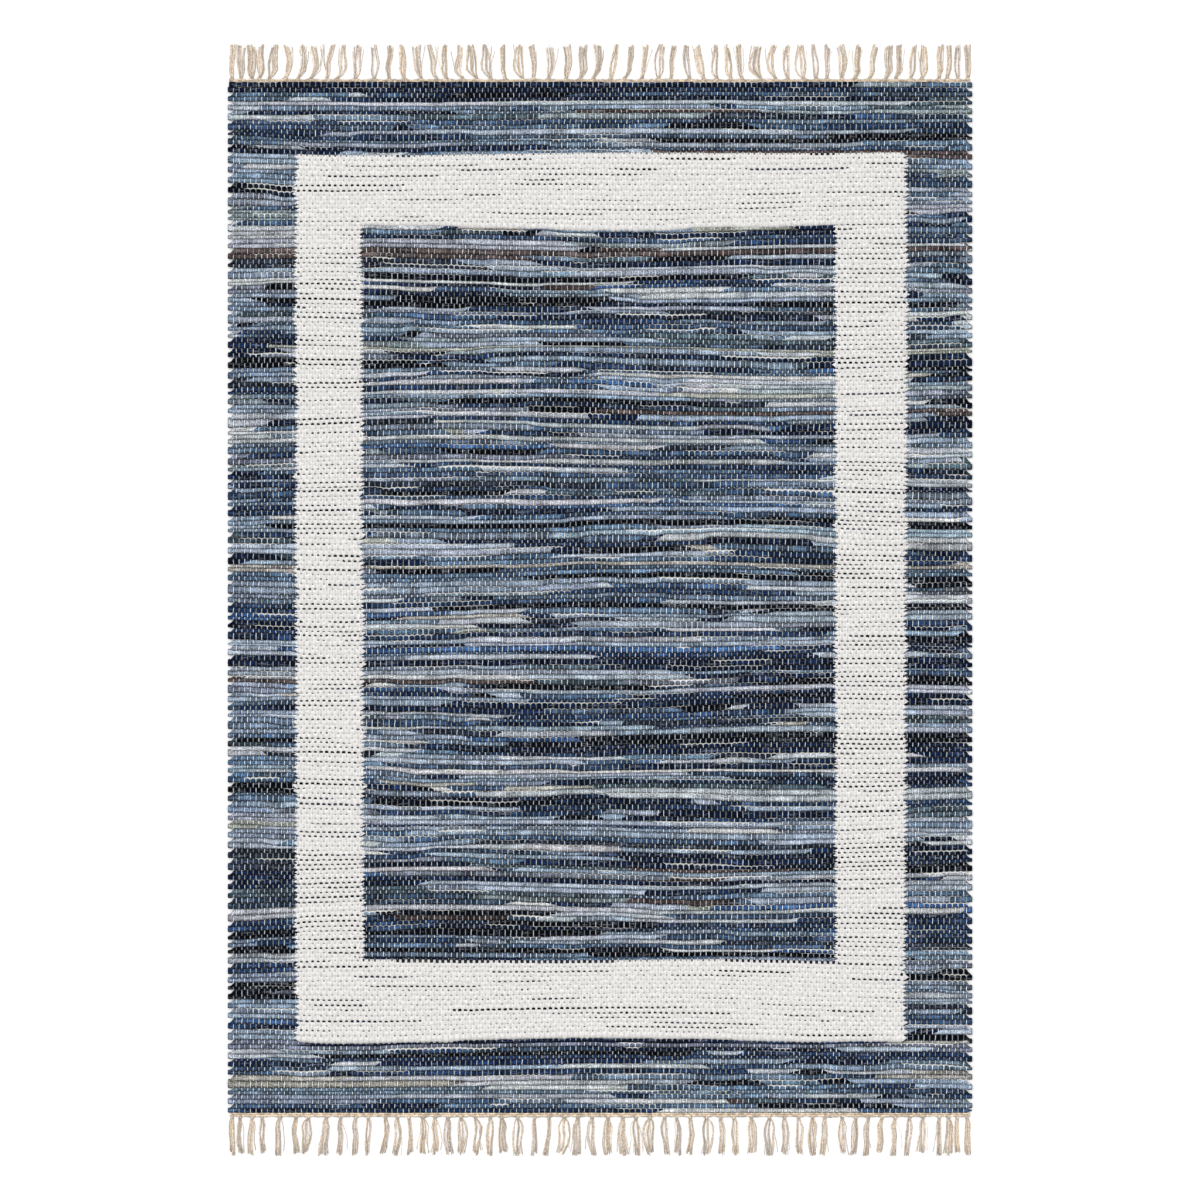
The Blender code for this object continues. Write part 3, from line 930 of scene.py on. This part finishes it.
class Tassel:
    """One tassel: its packed locks, its knot, and the drag and slow bend that its yarns share."""

    def __init__(self, packed, knot, name, rng):
        self.root, self.room, self.locks = packed
        self.knot = knot
        self.name = name
        self.openness = min(1.0, self.room / FULL_ROOM)
        self.drag = ROOT_DRAGS[name] * rng.normal()
        self.wavelength = rng.uniform(*TASSEL_WAVELENGTHS)
        self.start = rng.random()

    def yarn(self, share, xs, aside, tip, stray_drag, rng):
        """Points from the heading through the knot to the tip. Share is the place in the knot, -1 to 1."""
        way = np.array(YARN_WAYPOINTS)
        heading = HEADING_WIDTHS[self.name]
        neck = heading + GAP + NECK_PLACE
        y = between(neck, tip, way)
        opening = 1.0 - (1.0 - np.clip(way / OPENINGS[self.name], 0.0, 1.0)) ** 2
        wave = YARN_WAVE * np.sin(math.tau * (y / rng.uniform(*YARN_WAVELENGTHS) + rng.random()))
        wave += TASSEL_WAVE * np.sin(math.tau * (y / self.wavelength + self.start))
        at_knot = self.knot + share * NECK_HALF
        line = np.interp(way, (0.0, 0.5, 1.0), (xs[0], *xs)) + aside
        x = at_knot + (line - at_knot + wave) * opening
        limit = DRAG_ROOM * self.room
        drag = np.clip(self.drag + stray_drag, -limit, limit)
        start = [
            (at_knot + part * drag, heading * wide + beyond, height)
            for part, wide, beyond, height in YARN_ROOTS
        ]
        return np.concatenate([start, np.stack([x, y, np.zeros_like(x)], axis=1)])

    def lock_yarns(self, reach, rng):
        """Points and radius of each yarn of the locks, which bow apart in some tassels."""
        count = len(self.locks)
        each = YARNS_A_LOCK[count]
        bow = EYE_WIDTH * (rng.random() < EYES) * self.openness
        for order, (xs, wides, tip) in enumerate(self.locks):
            apart = bow * (order - (count - 1) / 2)
            sway = LOCK_WAVE * rng.normal(0.0, 1.0, 2)
            xs = [xs[0] + apart + sway[0], xs[1] - apart * rng.uniform(*EYE_CLOSING) + sway[1]]
            wide = np.interp(YARN_WAYPOINTS, (0.5, 1.0), (wides[0], wides[1] * WIDENING[self.name]))
            for strand in range(each):
                aside = ((strand + 0.5) / each - 0.5) * wide
                share = (order * each + strand + 0.5) / (count * each) * 2.0 - 1.0
                end = min(reach - YARN_RADIUS / 2, tip * rng.uniform(*TIP_VARIETY))
                path = self.yarn(share, xs, aside, end, 0.0, rng)
                radius = YARN_RADIUS * rng.uniform(*YARN_THICKNESSES)
                path[len(YARN_ROOTS):, 2] = radius * YARN_HEIGHTS[(strand + order) % 2]
                yield path, radius

    def stray_yarns(self, reach, rng):
        """Points and radius of the few thin yarns that leave the tassel."""
        for _ in range(rng.poisson(STRAY_YARNS)):
            aim = self.root + rng.uniform(-STRAY_ROOM, STRAY_ROOM) * self.room
            end = reach * rng.uniform(*STRAY_TIPS)
            drag = DRAG_ROOM * self.room * rng.uniform(-1.0, 1.0)
            xs = (between(self.root, aim, STRAY_HALFWAY), aim)
            path = self.yarn(rng.uniform(-1.0, 1.0), xs, 0.0, end, drag, rng)
            way = np.linspace(0.0, 1.0, len(path))
            swing = STRAY_WAVE * rng.uniform(-1.0, 1.0) * self.openness
            path[:, 0] += swing * np.sin(np.pi * way * rng.uniform(*STRAY_TURNS)) * way
            radius = rng.uniform(*STRAY_RADII)
            path[len(YARN_ROOTS):, 2] = radius * STRAY_HEIGHT
            yield path, radius


def build_tassels(tassels, knots, reach, name, edge, rng):
    """All yarns of one end's tassels in one mesh, with each yarn's own tint."""
    paths, radii, owners = [], [], []
    for owner, (packed, knot) in enumerate(zip(tassels, knots)):
        tassel = Tassel(packed, knot, name, rng)
        for yarns in (tassel.lock_yarns, tassel.stray_yarns):
            for path, radius in yarns(reach, rng):
                paths.append(path)
                radii.append(radius)
                owners.append(owner)
    paths = np.array(paths)
    paths[:, :, 0] = np.clip(paths[:, :, 0], YARN_RADIUS - edge, edge - YARN_RADIUS)
    count = len(paths)
    mesh, ring, outward, upward = tubes(paths.shape[1], YARN_SIDES, count, 1.0 - KNOT_MAP)
    ahead = np.gradient(paths, axis=1)
    ahead /= np.linalg.norm(ahead, axis=2, keepdims=True)
    aside = np.cross(ahead, (0.0, 0.0, 1.0))
    aside /= np.linalg.norm(aside, axis=2, keepdims=True)
    upright = np.cross(aside, ahead)
    turned = upward[:, None] * upright[:, ring] - outward[:, None] * aside[:, ring]
    set_points(mesh, (paths[:, ring] + turned * np.array(radii)[:, None, None]).reshape(-1, 3))
    # painted shade at the yarns' roots beside the knot, where brown speckles of painted shade also go
    root = np.tile(ROOT_SHADE_TINTS[np.minimum(ring, len(ROOT_SHADE_TINTS) - 1)], count)
    set_values(mesh, "tint", np.repeat(rng.random(count), len(ring)) * root)
    set_values(mesh, "knotted", 1.0 - root)
    set_values(mesh, "second", np.repeat(rng.random(len(tassels))[owners], len(ring)))
    return mesh


def build_knots(knots, heading, rng):
    """A rounded knot at each tassel's root."""
    bm = bmesh.new()
    bm.loops.layers.uv.new("OFBake")
    across, up = KNOT_SEGMENTS
    bmesh.ops.create_uvsphere(bm, u_segments=across, v_segments=up, radius=1.0, calc_uvs=True)
    place_on_map(bm, (0.0, 1.0 - KNOT_MAP), (1.0 / len(knots), 1.0))
    template = new_mesh(bm, "knot")
    shape = mesh_points(template)
    mesh = array_copies(template, [(len(knots), (1.0, 0.0, 0.0), (1.0 / len(knots), 0.0))])
    points = []
    for knot in knots:
        size = np.array(KNOT_HALF) * rng.uniform(*KNOT_SIZES, 3)
        points.append(np.array((knot, heading + GAP + KNOT_PLACE, size[2])) + shape * size)
    set_points(mesh, np.concatenate(points))
    # darker knots as painted shade, with brown speckles of painted shade all over them
    set_values(mesh, "tint", np.repeat(KNOT_SHADE_TINT * rng.random(len(knots)), len(shape)))
    set_values(mesh, "knotted", np.ones(len(mesh.vertices)))
    return mesh


def build_heading(plan, knots, width, rng):
    """The cotton rows beside the cloth's end, drawn out where the tassels leave them, with painted shade
    along the outer edge.
    """
    rings = 2 * plan.crossings + 1
    mesh, ring, outward, upward = tubes(rings, SIDES, HEADING_ROWS)
    half = plan.half - HEADING_MARGIN
    wide = width / HEADING_ROWS
    x = np.linspace(-half, half, rings)
    from_tip = np.minimum(np.arange(rings), np.arange(rings)[::-1])
    closing = np.clip(from_tip / 2 + HEADING_TIP, 0.0, 1.0)
    from_knot = np.abs(x[:, None] - np.array(knots)).min(axis=1)
    points, tints, knotted = [], [], []
    for row in range(HEADING_ROWS):
        over = 0.5 + 0.5 * np.cos(np.pi * (np.arange(rings) + row))
        least, added, varied = HEADING_GIRTHS
        girth = wide * (least + added * over + varied * rng.normal(0.0, 1.0, rings)) * closing
        rise = HEADING_HEIGHT / 2 * (HEADING_RISES[0] + HEADING_RISES[1] * over) * closing
        outer = np.clip(outward, 0.0, 1.0) * (row == HEADING_ROWS - 1)
        drawn_out = ROOT_BULGE * np.clip(1.0 - from_knot / ROOT_BULGE_HALF, 0.0, 1.0)
        drawn_out += HEADING_RAGGEDNESS * rng.normal(0.0, 1.0, rings)
        y = GAP + (row + 0.5) * wide + outward * girth[ring] + outer * (drawn_out * closing)[ring]
        z = HEADING_HEIGHT / 2 + upward * rise[ring]
        points.append(np.stack([x[ring], y, z], axis=1))
        # painted shade along the outer edge, where the tassels leave the heading
        tints.append(rng.random(rings)[ring] * (1.0 - outer))
        knotted.append(outer)
    set_points(mesh, np.concatenate(points))
    set_values(mesh, "tint", np.concatenate(tints))
    set_values(mesh, "knotted", np.concatenate(knotted))
    return mesh


def joined(meshes):
    """Several meshes as one, in their order."""
    bm = bmesh.new()
    for mesh in meshes:
        bm.from_mesh(mesh)
        bpy.data.meshes.remove(mesh)
    return new_mesh(bm, "joined")


class Shading:
    """Adds nodes to a node tree and joins them up."""

    def __init__(self, tree):
        self.tree = tree

    def node(self, kind, values=None, **settings):
        """A node with its settings, and with sockets or numbers put into its inputs."""
        node = self.tree.nodes.new(kind)
        for name, value in settings.items():
            setattr(node, name, value)
        for name, value in (values or {}).items():
            self.put(value, node.inputs[name])
        return node

    def put(self, value, socket):
        """Join a socket to an input, or set the input's own value."""
        if isinstance(value, bpy.types.NodeSocket):
            self.tree.links.new(value, socket)
        else:
            socket.default_value = value

    def math(self, operation, *values):
        """A math node's result."""
        return self.node("ShaderNodeMath", dict(enumerate(values)), operation=operation).outputs[0]

    def line(self, value, slope, level):
        """A value times a slope, plus a level."""
        return self.math("MULTIPLY_ADD", value, slope, level)

    def product(self, first, *others):
        """Values multiplied together."""
        for other in others:
            first = self.math("MULTIPLY", first, other)
        return first

    def attribute(self, name, output="Fac"):
        """A value that the mesh carries."""
        return self.node("ShaderNodeAttribute", attribute_name=name).outputs[output]

    def place(self, **turns):
        """Object coordinates, stretched by a Scale or turned by a Rotation."""
        source = self.node("ShaderNodeTexCoord").outputs["Object"]
        return self.node("ShaderNodeMapping", {"Vector": source, **turns}).outputs[0]

    def noise(self, stretch, scale, detail, roughness=0.55):
        """Soft random values about a half, in patches that are stretched where the stretch is below 1."""
        place = self.place(Scale=stretch)
        values = {"Vector": place, "Scale": scale, "Detail": detail, "Roughness": roughness}
        return self.node("ShaderNodeTexNoise", values).outputs["Fac"]

    def spread(self, value, low, high, out_low=0.0, out_high=1.0):
        """A value from one range to another, kept within it and eased at both ends."""
        values = {"Value": value, "From Min": low, "From Max": high, "To Min": out_low, "To Max": out_high}
        return self.node("ShaderNodeMapRange", values, interpolation_type="SMOOTHSTEP").outputs[0]

    def mix(self, factor, first, second):
        """Two colours mixed."""
        return self.node("ShaderNodeMix", {0: factor, 6: first, 7: second}, data_type="RGBA").outputs[2]

    def tone(self, colour, value):
        """A colour made lighter or darker by a value."""
        return self.node("ShaderNodeHueSaturation", {"Color": colour, "Value": value}).outputs[0]

    def softened(self, colour):
        """A colour whose lightest parts are held back, so that they turn paler rather than brighter."""
        values = {0: colour, 1: (LIGHT_LIMIT,) * 3, 2: (1.0, 1.0, 1.0)}
        divisor = self.node("ShaderNodeVectorMath", values, operation="MULTIPLY_ADD").outputs[0]
        return self.node("ShaderNodeVectorMath", {0: colour, 1: divisor}, operation="DIVIDE").outputs[0]

    def group(self, name, build, values):
        """The outputs of a node group that is built once and shared, placed here with its own values."""
        tree = bpy.data.node_groups.get(name) or build(name)
        return self.node("ShaderNodeGroup", values, node_tree=tree).outputs


def opaque(colour):
    """A colour with full alpha."""
    return (*colour, 1.0)


def new_group(name, **inputs):
    """A shader node group with named inputs that puts out a tone about 1 and a height."""
    group = bpy.data.node_groups.new(name, "ShaderNodeTree")
    for label, default in inputs.items():
        socket = group.interface.new_socket(label, in_out="INPUT", socket_type="NodeSocketFloat")
        socket.default_value = default
    for label in ("Tone", "Height"):
        group.interface.new_socket(label, in_out="OUTPUT", socket_type="NodeSocketFloat")
    shading = Shading(group)
    return shading, shading.node("NodeGroupInput").outputs


def put_out(shading, tone, height):
    """Join a group's tone and height to its output."""
    shading.node("NodeGroupOutput", {"Tone": tone, "Height": height})
    return shading.tree


def fibre_group(name):
    """Fine fibres and pills on woven cotton."""
    shading, given = new_group(name, Scale=1.0, Contrast=0.1)
    fine, broad = (
        shading.noise(stretch, shading.product(given["Scale"], scale), detail)
        for stretch, scale, detail in (FINE_FIBRES, BROAD_FIBRES)
    )
    height = shading.line(fine, FINE_SHARE, shading.product(broad, 1.0 - FINE_SHARE))
    centred = shading.math("SUBTRACT", height, 0.5)
    contrast = shading.product(given["Contrast"], FIBRE_CONTRAST)
    return put_out(shading, shading.line(centred, contrast, 1.0), height)


def twist_group(name):
    """The slanting turns of a spun yarn."""
    shading, given = new_group(name, Turns=900.0, Contrast=0.1)
    wave = shading.node("ShaderNodeTexWave", {
        "Vector": shading.place(Rotation=(0.0, 0.0, TWIST_SLANT)),
        "Scale": given["Turns"], "Distortion": TWIST_DISTORTION, "Detail": 1.0,
    }).outputs["Fac"]
    centred = shading.math("SUBTRACT", wave, 0.5)
    return put_out(shading, shading.line(centred, given["Contrast"], 1.0), wave)


class Finish:
    """A material under way, with its shader's fixed values set."""

    def __init__(self, name, roughness, sheen):
        self.material = bpy.data.materials.new(name)
        self.material.use_nodes = True
        self.shader = self.material.node_tree.nodes["Principled BSDF"]
        self.shader.inputs["Roughness"].default_value = roughness
        self.shader.inputs["Specular IOR Level"].default_value = MATT
        self.shader.inputs["Sheen Weight"].default_value = sheen
        self.shader.inputs["Sheen Roughness"].default_value = SHEEN_ROUGHNESS
        self.shading = Shading(self.material.node_tree)

    def show(self, colour):
        """Put a colour on the surface."""
        self.shading.put(colour, self.shader.inputs["Base Color"])

    def emboss(self, height, strength, depth):
        """Raise the surface by a height."""
        values = {"Strength": strength, "Distance": depth, "Height": height}
        bump = self.shading.node("ShaderNodeBump", values)
        self.shading.put(bump.outputs[0], self.shader.inputs["Normal"])


class CottonFinish(Finish):
    """The material of a cotton yarn or rag, with its fibres and its twist."""

    def __init__(self, name, roughness, sheen, fibres, twist):
        super().__init__(name, roughness, sheen)
        self.fibres = self.shading.group("Cotton fibres", fibre_group, fibres)
        self.twist = self.shading.group("Yarn twist", twist_group, twist)

    def relief(self, twist_share):
        """The height of the twist and the fibres together."""
        fibres = self.shading.product(self.fibres["Height"], 1.0 - twist_share)
        return self.shading.line(self.twist["Height"], twist_share, fibres)


def cotton_material(name, colours):
    """Spun cotton yarn in two colours whose pieces differ in tone, with brown speckles of painted shade by
    the knots.
    """
    tones, turns, unevenness = COTTONS[name]
    twist = {"Turns": turns, "Contrast": YARN_TWIST_CONTRAST}
    finish = CottonFinish(name, roughness=0.92, sheen=0.05, fibres=YARN_FIBRES, twist=twist)
    shading = finish.shading
    tint = shading.spread(shading.attribute("tint"), 0.0, 1.0, *tones)
    slubs = shading.spread(shading.noise(*SLUBS), *SLUB_RANGE, 1.0 - unevenness, 1.0 + unevenness)
    # brown speckles of painted shade where the mesh marks it
    shade_specks = shading.spread(shading.noise(*SHADE_SPECKS), *SHADE_SPECK_RANGE)
    shade_specks = shading.line(shade_specks, shading.attribute("knotted"), 1.0)
    tone = shading.product(finish.fibres["Tone"], finish.twist["Tone"], tint, slubs, shade_specks)
    first, second = colours
    cotton = shading.mix(shading.attribute("second"), opaque(first), opaque(second))
    finish.show(shading.tone(cotton, tone))
    finish.emboss(finish.relief(YARN_TWIST_SHARE), *YARN_RELIEF)
    return finish.material


class RagFinish(CottonFinish):
    """The material of the rags, from what the mesh says about each place on a row."""

    def __init__(self):
        super().__init__("denim_rags", roughness=0.95, sheen=0.02, fibres=RAG_FIBRES, twist=RAG_TWILL)
        shading = self.shading
        self.across = shading.attribute("across")
        self.off_crest = shading.math("ABSOLUTE", self.across)
        halfway = shading.math("PINGPONG", shading.attribute("along"), 0.5)
        self.phase = shading.product(halfway, 2.0)  # 0 at a crossing, 1 in the middle between two
        self.ragged = shading.line(shading.noise(*RAGGED), RAGGEDNESS, -RAGGEDNESS / 2)
        self.seam = shading.attribute("seam")
        self.frayed = shading.line(self.ragged, RAW_EDGE_FRAYING, self.across)

    def pattern(self, name):
        """One of the rags' patterns, spread over its range."""
        along, scale, detail, roughness, *limits = RAG_PATTERNS[name]
        return self.shading.spread(self.shading.noise((along, 1.0, 1.0), scale, detail, roughness), *limits)

    def denim(self):
        """Two strips that meet at a ragged line, with faded streaks and flecks, and painted shade in folds,
        at edges and crossings.
        """
        shading = self.shading
        level = shading.math("ADD", self.across, self.ragged)
        meets = shading.math("GREATER_THAN", level, shading.attribute("join"))
        strips = [shading.attribute(name, "Color") for name in ("rag_below", "rag_above")]
        denim = shading.mix(meets, *strips)
        wrong_side = shading.tone(denim, WRONG_SIDE_TONE)
        wrong_side = shading.mix(WRONG_SIDE_GREY, wrong_side, opaque(WRONG_SIDE_COLOUR))
        denim = shading.mix(self.pattern("turned"), denim, wrong_side)
        # thin lines of painted shade along the folds
        crease_shade = shading.math("SUBTRACT", shading.noise(*CREASE_SHADE_LINES), 0.5)
        crease_shade = shading.spread(shading.math("ABSOLUTE", crease_shade), *CREASE_SHADE_RANGE)
        patterns = [self.pattern(name) for name in ("streaks", "worn", "flecks")]
        # painted shade: lighter on the crest, darker towards the row's edges
        sides = shading.spread(self.off_crest, *SHADED_SIDES)
        tone = shading.product(*patterns, crease_shade, self.twist["Tone"], self.fibres["Tone"], sides)
        denim = shading.softened(shading.tone(denim, tone))
        # painted shade beside each crossing
        return shading.tone(denim, shading.spread(self.phase, *PAINTED_SHADE_AT_CROSSINGS))

    def raw_edges(self):
        """Where raw edges arch over the beads."""
        arch = self.shading.spread(self.phase, *RAW_EDGE_ARCH)
        depth = self.shading.line(self.seam, arch, RAW_EDGE_LEVEL)
        return self.shading.math("GREATER_THAN", self.frayed, depth)

    def dashes(self):
        """How strongly a dash shows, only between two crossings."""
        shading = self.shading
        between_crossings = shading.math("GREATER_THAN", self.phase, shading.line(self.seam, *DASH_STARTS))
        deep = shading.math("GREATER_THAN", self.frayed, shading.line(self.seam, *DASH_DEPTHS))
        return shading.product(deep, between_crossings, shading.spread(self.seam, *DASH_RANGE))

    def in_frame(self):
        """Where the white frame is, with teeth along X at its sides."""
        shading = self.shading
        inside = shading.math("ADD", shading.attribute("border"), shading.line(self.off_crest, *TEETH))
        return shading.math("GREATER_THAN", shading.line(self.ragged, TEETH_RAGGEDNESS, inside), 0.0)

    def white(self, rag):
        """The frame's white rags, with painted light towards their edges and painted shade at the crossings.
        """
        shading = self.shading
        # painted light towards the edges, against the grooves' shade
        edges = shading.spread(self.off_crest, *PAINTED_LIGHT_AT_WHITE_EDGES)
        # painted shade beside each crossing
        pressed = shading.spread(self.phase, *WHITE_SHADE_AT_CROSSINGS)
        tone = shading.product(self.pattern("patchy"), self.fibres["Tone"], edges, pressed)
        return shading.tone(opaque(rag), tone)

    def crossings_below(self):
        """Where the warp crosses the underside, halfway between the crossings on top."""
        shading = self.shading
        normal = shading.node("ShaderNodeNewGeometry").outputs["Normal"]
        upward = shading.node("ShaderNodeSeparateXYZ", {"Vector": normal}).outputs["Z"]
        below = shading.math("LESS_THAN", upward, DOWNWARD)
        return shading.product(below, shading.math("GREATER_THAN", self.phase, UNDER_CROSSING))


def rag_material(colours):
    """Denim rags, with the white rags of the frame over them, raw edges and dashes along the seams."""
    rags = RagFinish()
    shading = rags.shading
    denim = rags.denim()
    # the dashes: denim seen between the white beads, darkened as painted shade
    white = shading.mix(rags.dashes(), rags.white(colours.white_rag), shading.tone(denim, DASH_DENIM_SHADE))
    blue = shading.mix(rags.raw_edges(), denim, opaque(colours.raw_edge))
    top = shading.mix(rags.in_frame(), blue, white)
    rags.show(shading.mix(rags.crossings_below(), top, opaque(colours.warp)))
    rags.emboss(shading.line(rags.ragged, 0.5, rags.relief(RAG_TWILL_SHARE)), *RAG_RELIEF)
    return rags.material


def rug_and_plan(context):
    """The rug's settings, and where its rows run."""
    rug = context.scene.rag_rug
    return rug, WeavePlan(rug.weave, rug.colours)


class RUG_OT_lay_ground(bpy.types.Operator):
    """Lay the warp's ground sheet between the rows"""

    bl_idname = "rug.lay_ground"
    bl_label = "Lay the warp"

    def execute(self, context):
        rug, plan = rug_and_plan(context)
        shades = (rug.colours.warp, rug.colours.white_rag)
        material = cotton_material("cotton_ground", shades)
        add_piece("warp_ground", lay_ground(plan), material, "cloth")
        return {"FINISHED"}


class RUG_OT_weave_rags(bpy.types.Operator):
    """Weave the rows of rags, in bands"""

    bl_idname = "rug.weave_rags"
    bl_label = "Weave the rags"

    def execute(self, context):
        rug, plan = rug_and_plan(context)
        material = rag_material(rug.colours)
        limits = [round(plan.rows * band / BANDS) for band in range(BANDS + 1)]
        for band, (first, last) in enumerate(zip(limits[:-1], limits[1:])):
            mesh = weave_band(plan, first, last)
            add_piece(f"rag_rows_{band + 1}", mesh, material, "cloth")
        return {"FINISHED"}


class RUG_OT_lay_stitches(bpy.types.Operator):
    """Lay the crossings of the warp over the rows"""

    bl_idname = "rug.lay_stitches"
    bl_label = "Lay the crossings"

    def execute(self, context):
        rug, plan = rug_and_plan(context)
        shades = (rug.colours.warp, rug.colours.white_rag)
        material = cotton_material("cotton_crossings", shades)
        middle = plan.rows // 2
        for name, first, last in (("near", 0, middle), ("far", middle, plan.rows)):
            mesh = lay_stitches(plan, first, last)
            add_piece(f"warp_crossings_{name}", mesh, material, "cloth")
        return {"FINISHED"}


class RUG_OT_tie_fringes(bpy.types.Operator):
    """Weave the headings and tie the tassels at both ends"""

    bl_idname = "rug.tie_fringes"
    bl_label = "Tie the fringes"

    def execute(self, context):
        rug, plan = rug_and_plan(context)
        shades = (rug.colours.tassel, rug.colours.rosy_tassel)
        material = cotton_material("cotton_tassels", shades)
        ends = (
            ("far", rug.fringe.far_reach, rug.weave.far_end, 0.0),
            ("near", rug.fringe.near_reach, rug.weave.near_end, math.pi),
        )
        for name, reach, end, turn in ends:
            rng = np.random.default_rng(len(name))
            width = HEADING_WIDTHS[name]
            tassels = tassel_locks(f"fringe_{name}", rug.fringe.tassels, rug.weave.width, reach)
            knots = tie_knots(tassels, name, rng)
            parts = {
                f"heading_{name}": build_heading(plan, knots, width, rng),
                f"tassels_{name}": joined([
                    build_knots(knots, width, rng),
                    build_tassels(tassels, knots, reach, name, plan.half, rng),
                ]),
            }
            set_down = Matrix.Translation((0.0, end, 0.0)) @ Matrix.Rotation(turn, 4, "Z")
            for part, mesh in parts.items():
                mesh.transform(set_down)
                add_piece(part, mesh, material, f"fringe_{name}")
        return {"FINISHED"}


class RUG_OT_spread_out(bpy.types.Operator):
    bl_idname = "rug.spread_out"
    bl_label = "Spread the rug out"

    def execute(self, context):
        return {"FINISHED"}


class RUG_OT_set_stage(bpy.types.Operator):
    """Set up the pale floor, the soft light and the camera"""

    bl_idname = "rug.set_stage"
    bl_label = "Set the stage"

    def execute(self, context):
        scene = context.scene
        stage = scene.rag_rug.stage
        self.add_floor(stage)
        self.add_light(scene, stage)
        self.add_camera(scene, stage)
        scene.view_settings.view_transform = "Standard"
        return {"FINISHED"}

    def add_floor(self, stage):
        """A wide plain floor."""
        bm = bmesh.new()
        bmesh.ops.create_grid(bm, x_segments=4, y_segments=4, size=FLOOR_HALF)
        finish = Finish("pale_floor", roughness=0.95, sheen=0.0)
        tone = finish.shading.spread(finish.shading.noise(*FLOOR_CLOUDS), *FLOOR_RANGE)
        finish.show(finish.shading.tone(opaque(stage.floor), tone))
        floor = bpy.data.objects.new("floor", new_mesh(bm, "floor"))
        floor.data.materials.append(finish.material)
        bpy.context.collection.objects.link(floor)

    def add_light(self, scene, stage):
        """Even light from all sides, and one wide soft lamp from above, towards the far left."""
        world = bpy.data.worlds.new("even_light")
        world.use_nodes = True
        background = world.node_tree.nodes["Background"]
        background.inputs["Color"].default_value = (1.0, 1.0, 1.0, 1.0)
        background.inputs["Strength"].default_value = stage.sky
        scene.world = world
        data = bpy.data.lights.new("soft_lamp", "SUN")
        data.energy = stage.lamp
        data.angle = LAMP_SPREAD
        lamp = bpy.data.objects.new("soft_lamp", data)
        lamp.rotation_euler = LAMP_TURN
        scene.collection.objects.link(lamp)

    def add_camera(self, scene, stage):
        """A long lens straight above the rug, with the far fringe at the top of the picture."""
        data = bpy.data.cameras.new("camera")
        data.lens = stage.lens
        data.clip_end = VIEW_END
        camera = bpy.data.objects.new("camera", data)
        distance = stage.view_width / 2 / math.tan(math.atan(data.sensor_width / 2 / stage.lens))
        camera.location = (0.0, 0.0, distance + scene.rag_rug.weave.crest)
        scene.collection.objects.link(camera)
        scene.camera = camera


class RUG_PT_panel(bpy.types.Panel):
    """The rug's settings and steps"""

    bl_label = "Rag rug"
    bl_idname = "RUG_PT_panel"
    bl_space_type = "VIEW_3D"
    bl_region_type = "UI"
    bl_category = "Rug"

    def draw(self, context):
        rug = context.scene.rag_rug
        for settings in (rug.weave, rug.colours, rug.fringe, rug.stage):
            box = self.layout.box()
            for name in settings.__annotations__:
                box.prop(settings, name)
        for step in STEPS:
            self.layout.operator(step.bl_idname)


STEPS = (
    RUG_OT_lay_ground, RUG_OT_weave_rags, RUG_OT_lay_stitches, RUG_OT_tie_fringes,
    RUG_OT_spread_out, RUG_OT_set_stage,
)
CLASSES = (RugWeave, RugColours, RugFringe, RugStage, RagRug, *STEPS, RUG_PT_panel)


def register():
    """Make the rug's settings and steps known to Blender."""
    for cls in CLASSES:
        bpy.utils.register_class(cls)
    bpy.types.Scene.rag_rug = bpy.props.PointerProperty(type=RagRug)


def unregister():
    """Take them away again."""
    del bpy.types.Scene.rag_rug
    for cls in reversed(CLASSES):
        bpy.utils.unregister_class(cls)


def main():
    """Make the whole rug and its stage."""
    register()
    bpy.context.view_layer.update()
    bpy.ops.rug.lay_ground()
    bpy.ops.rug.weave_rags()
    bpy.ops.rug.lay_stitches()
    bpy.ops.rug.tie_fringes()
    bpy.ops.rug.spread_out()
    bpy.ops.rug.set_stage()


if __name__ == "__main__":
    main()
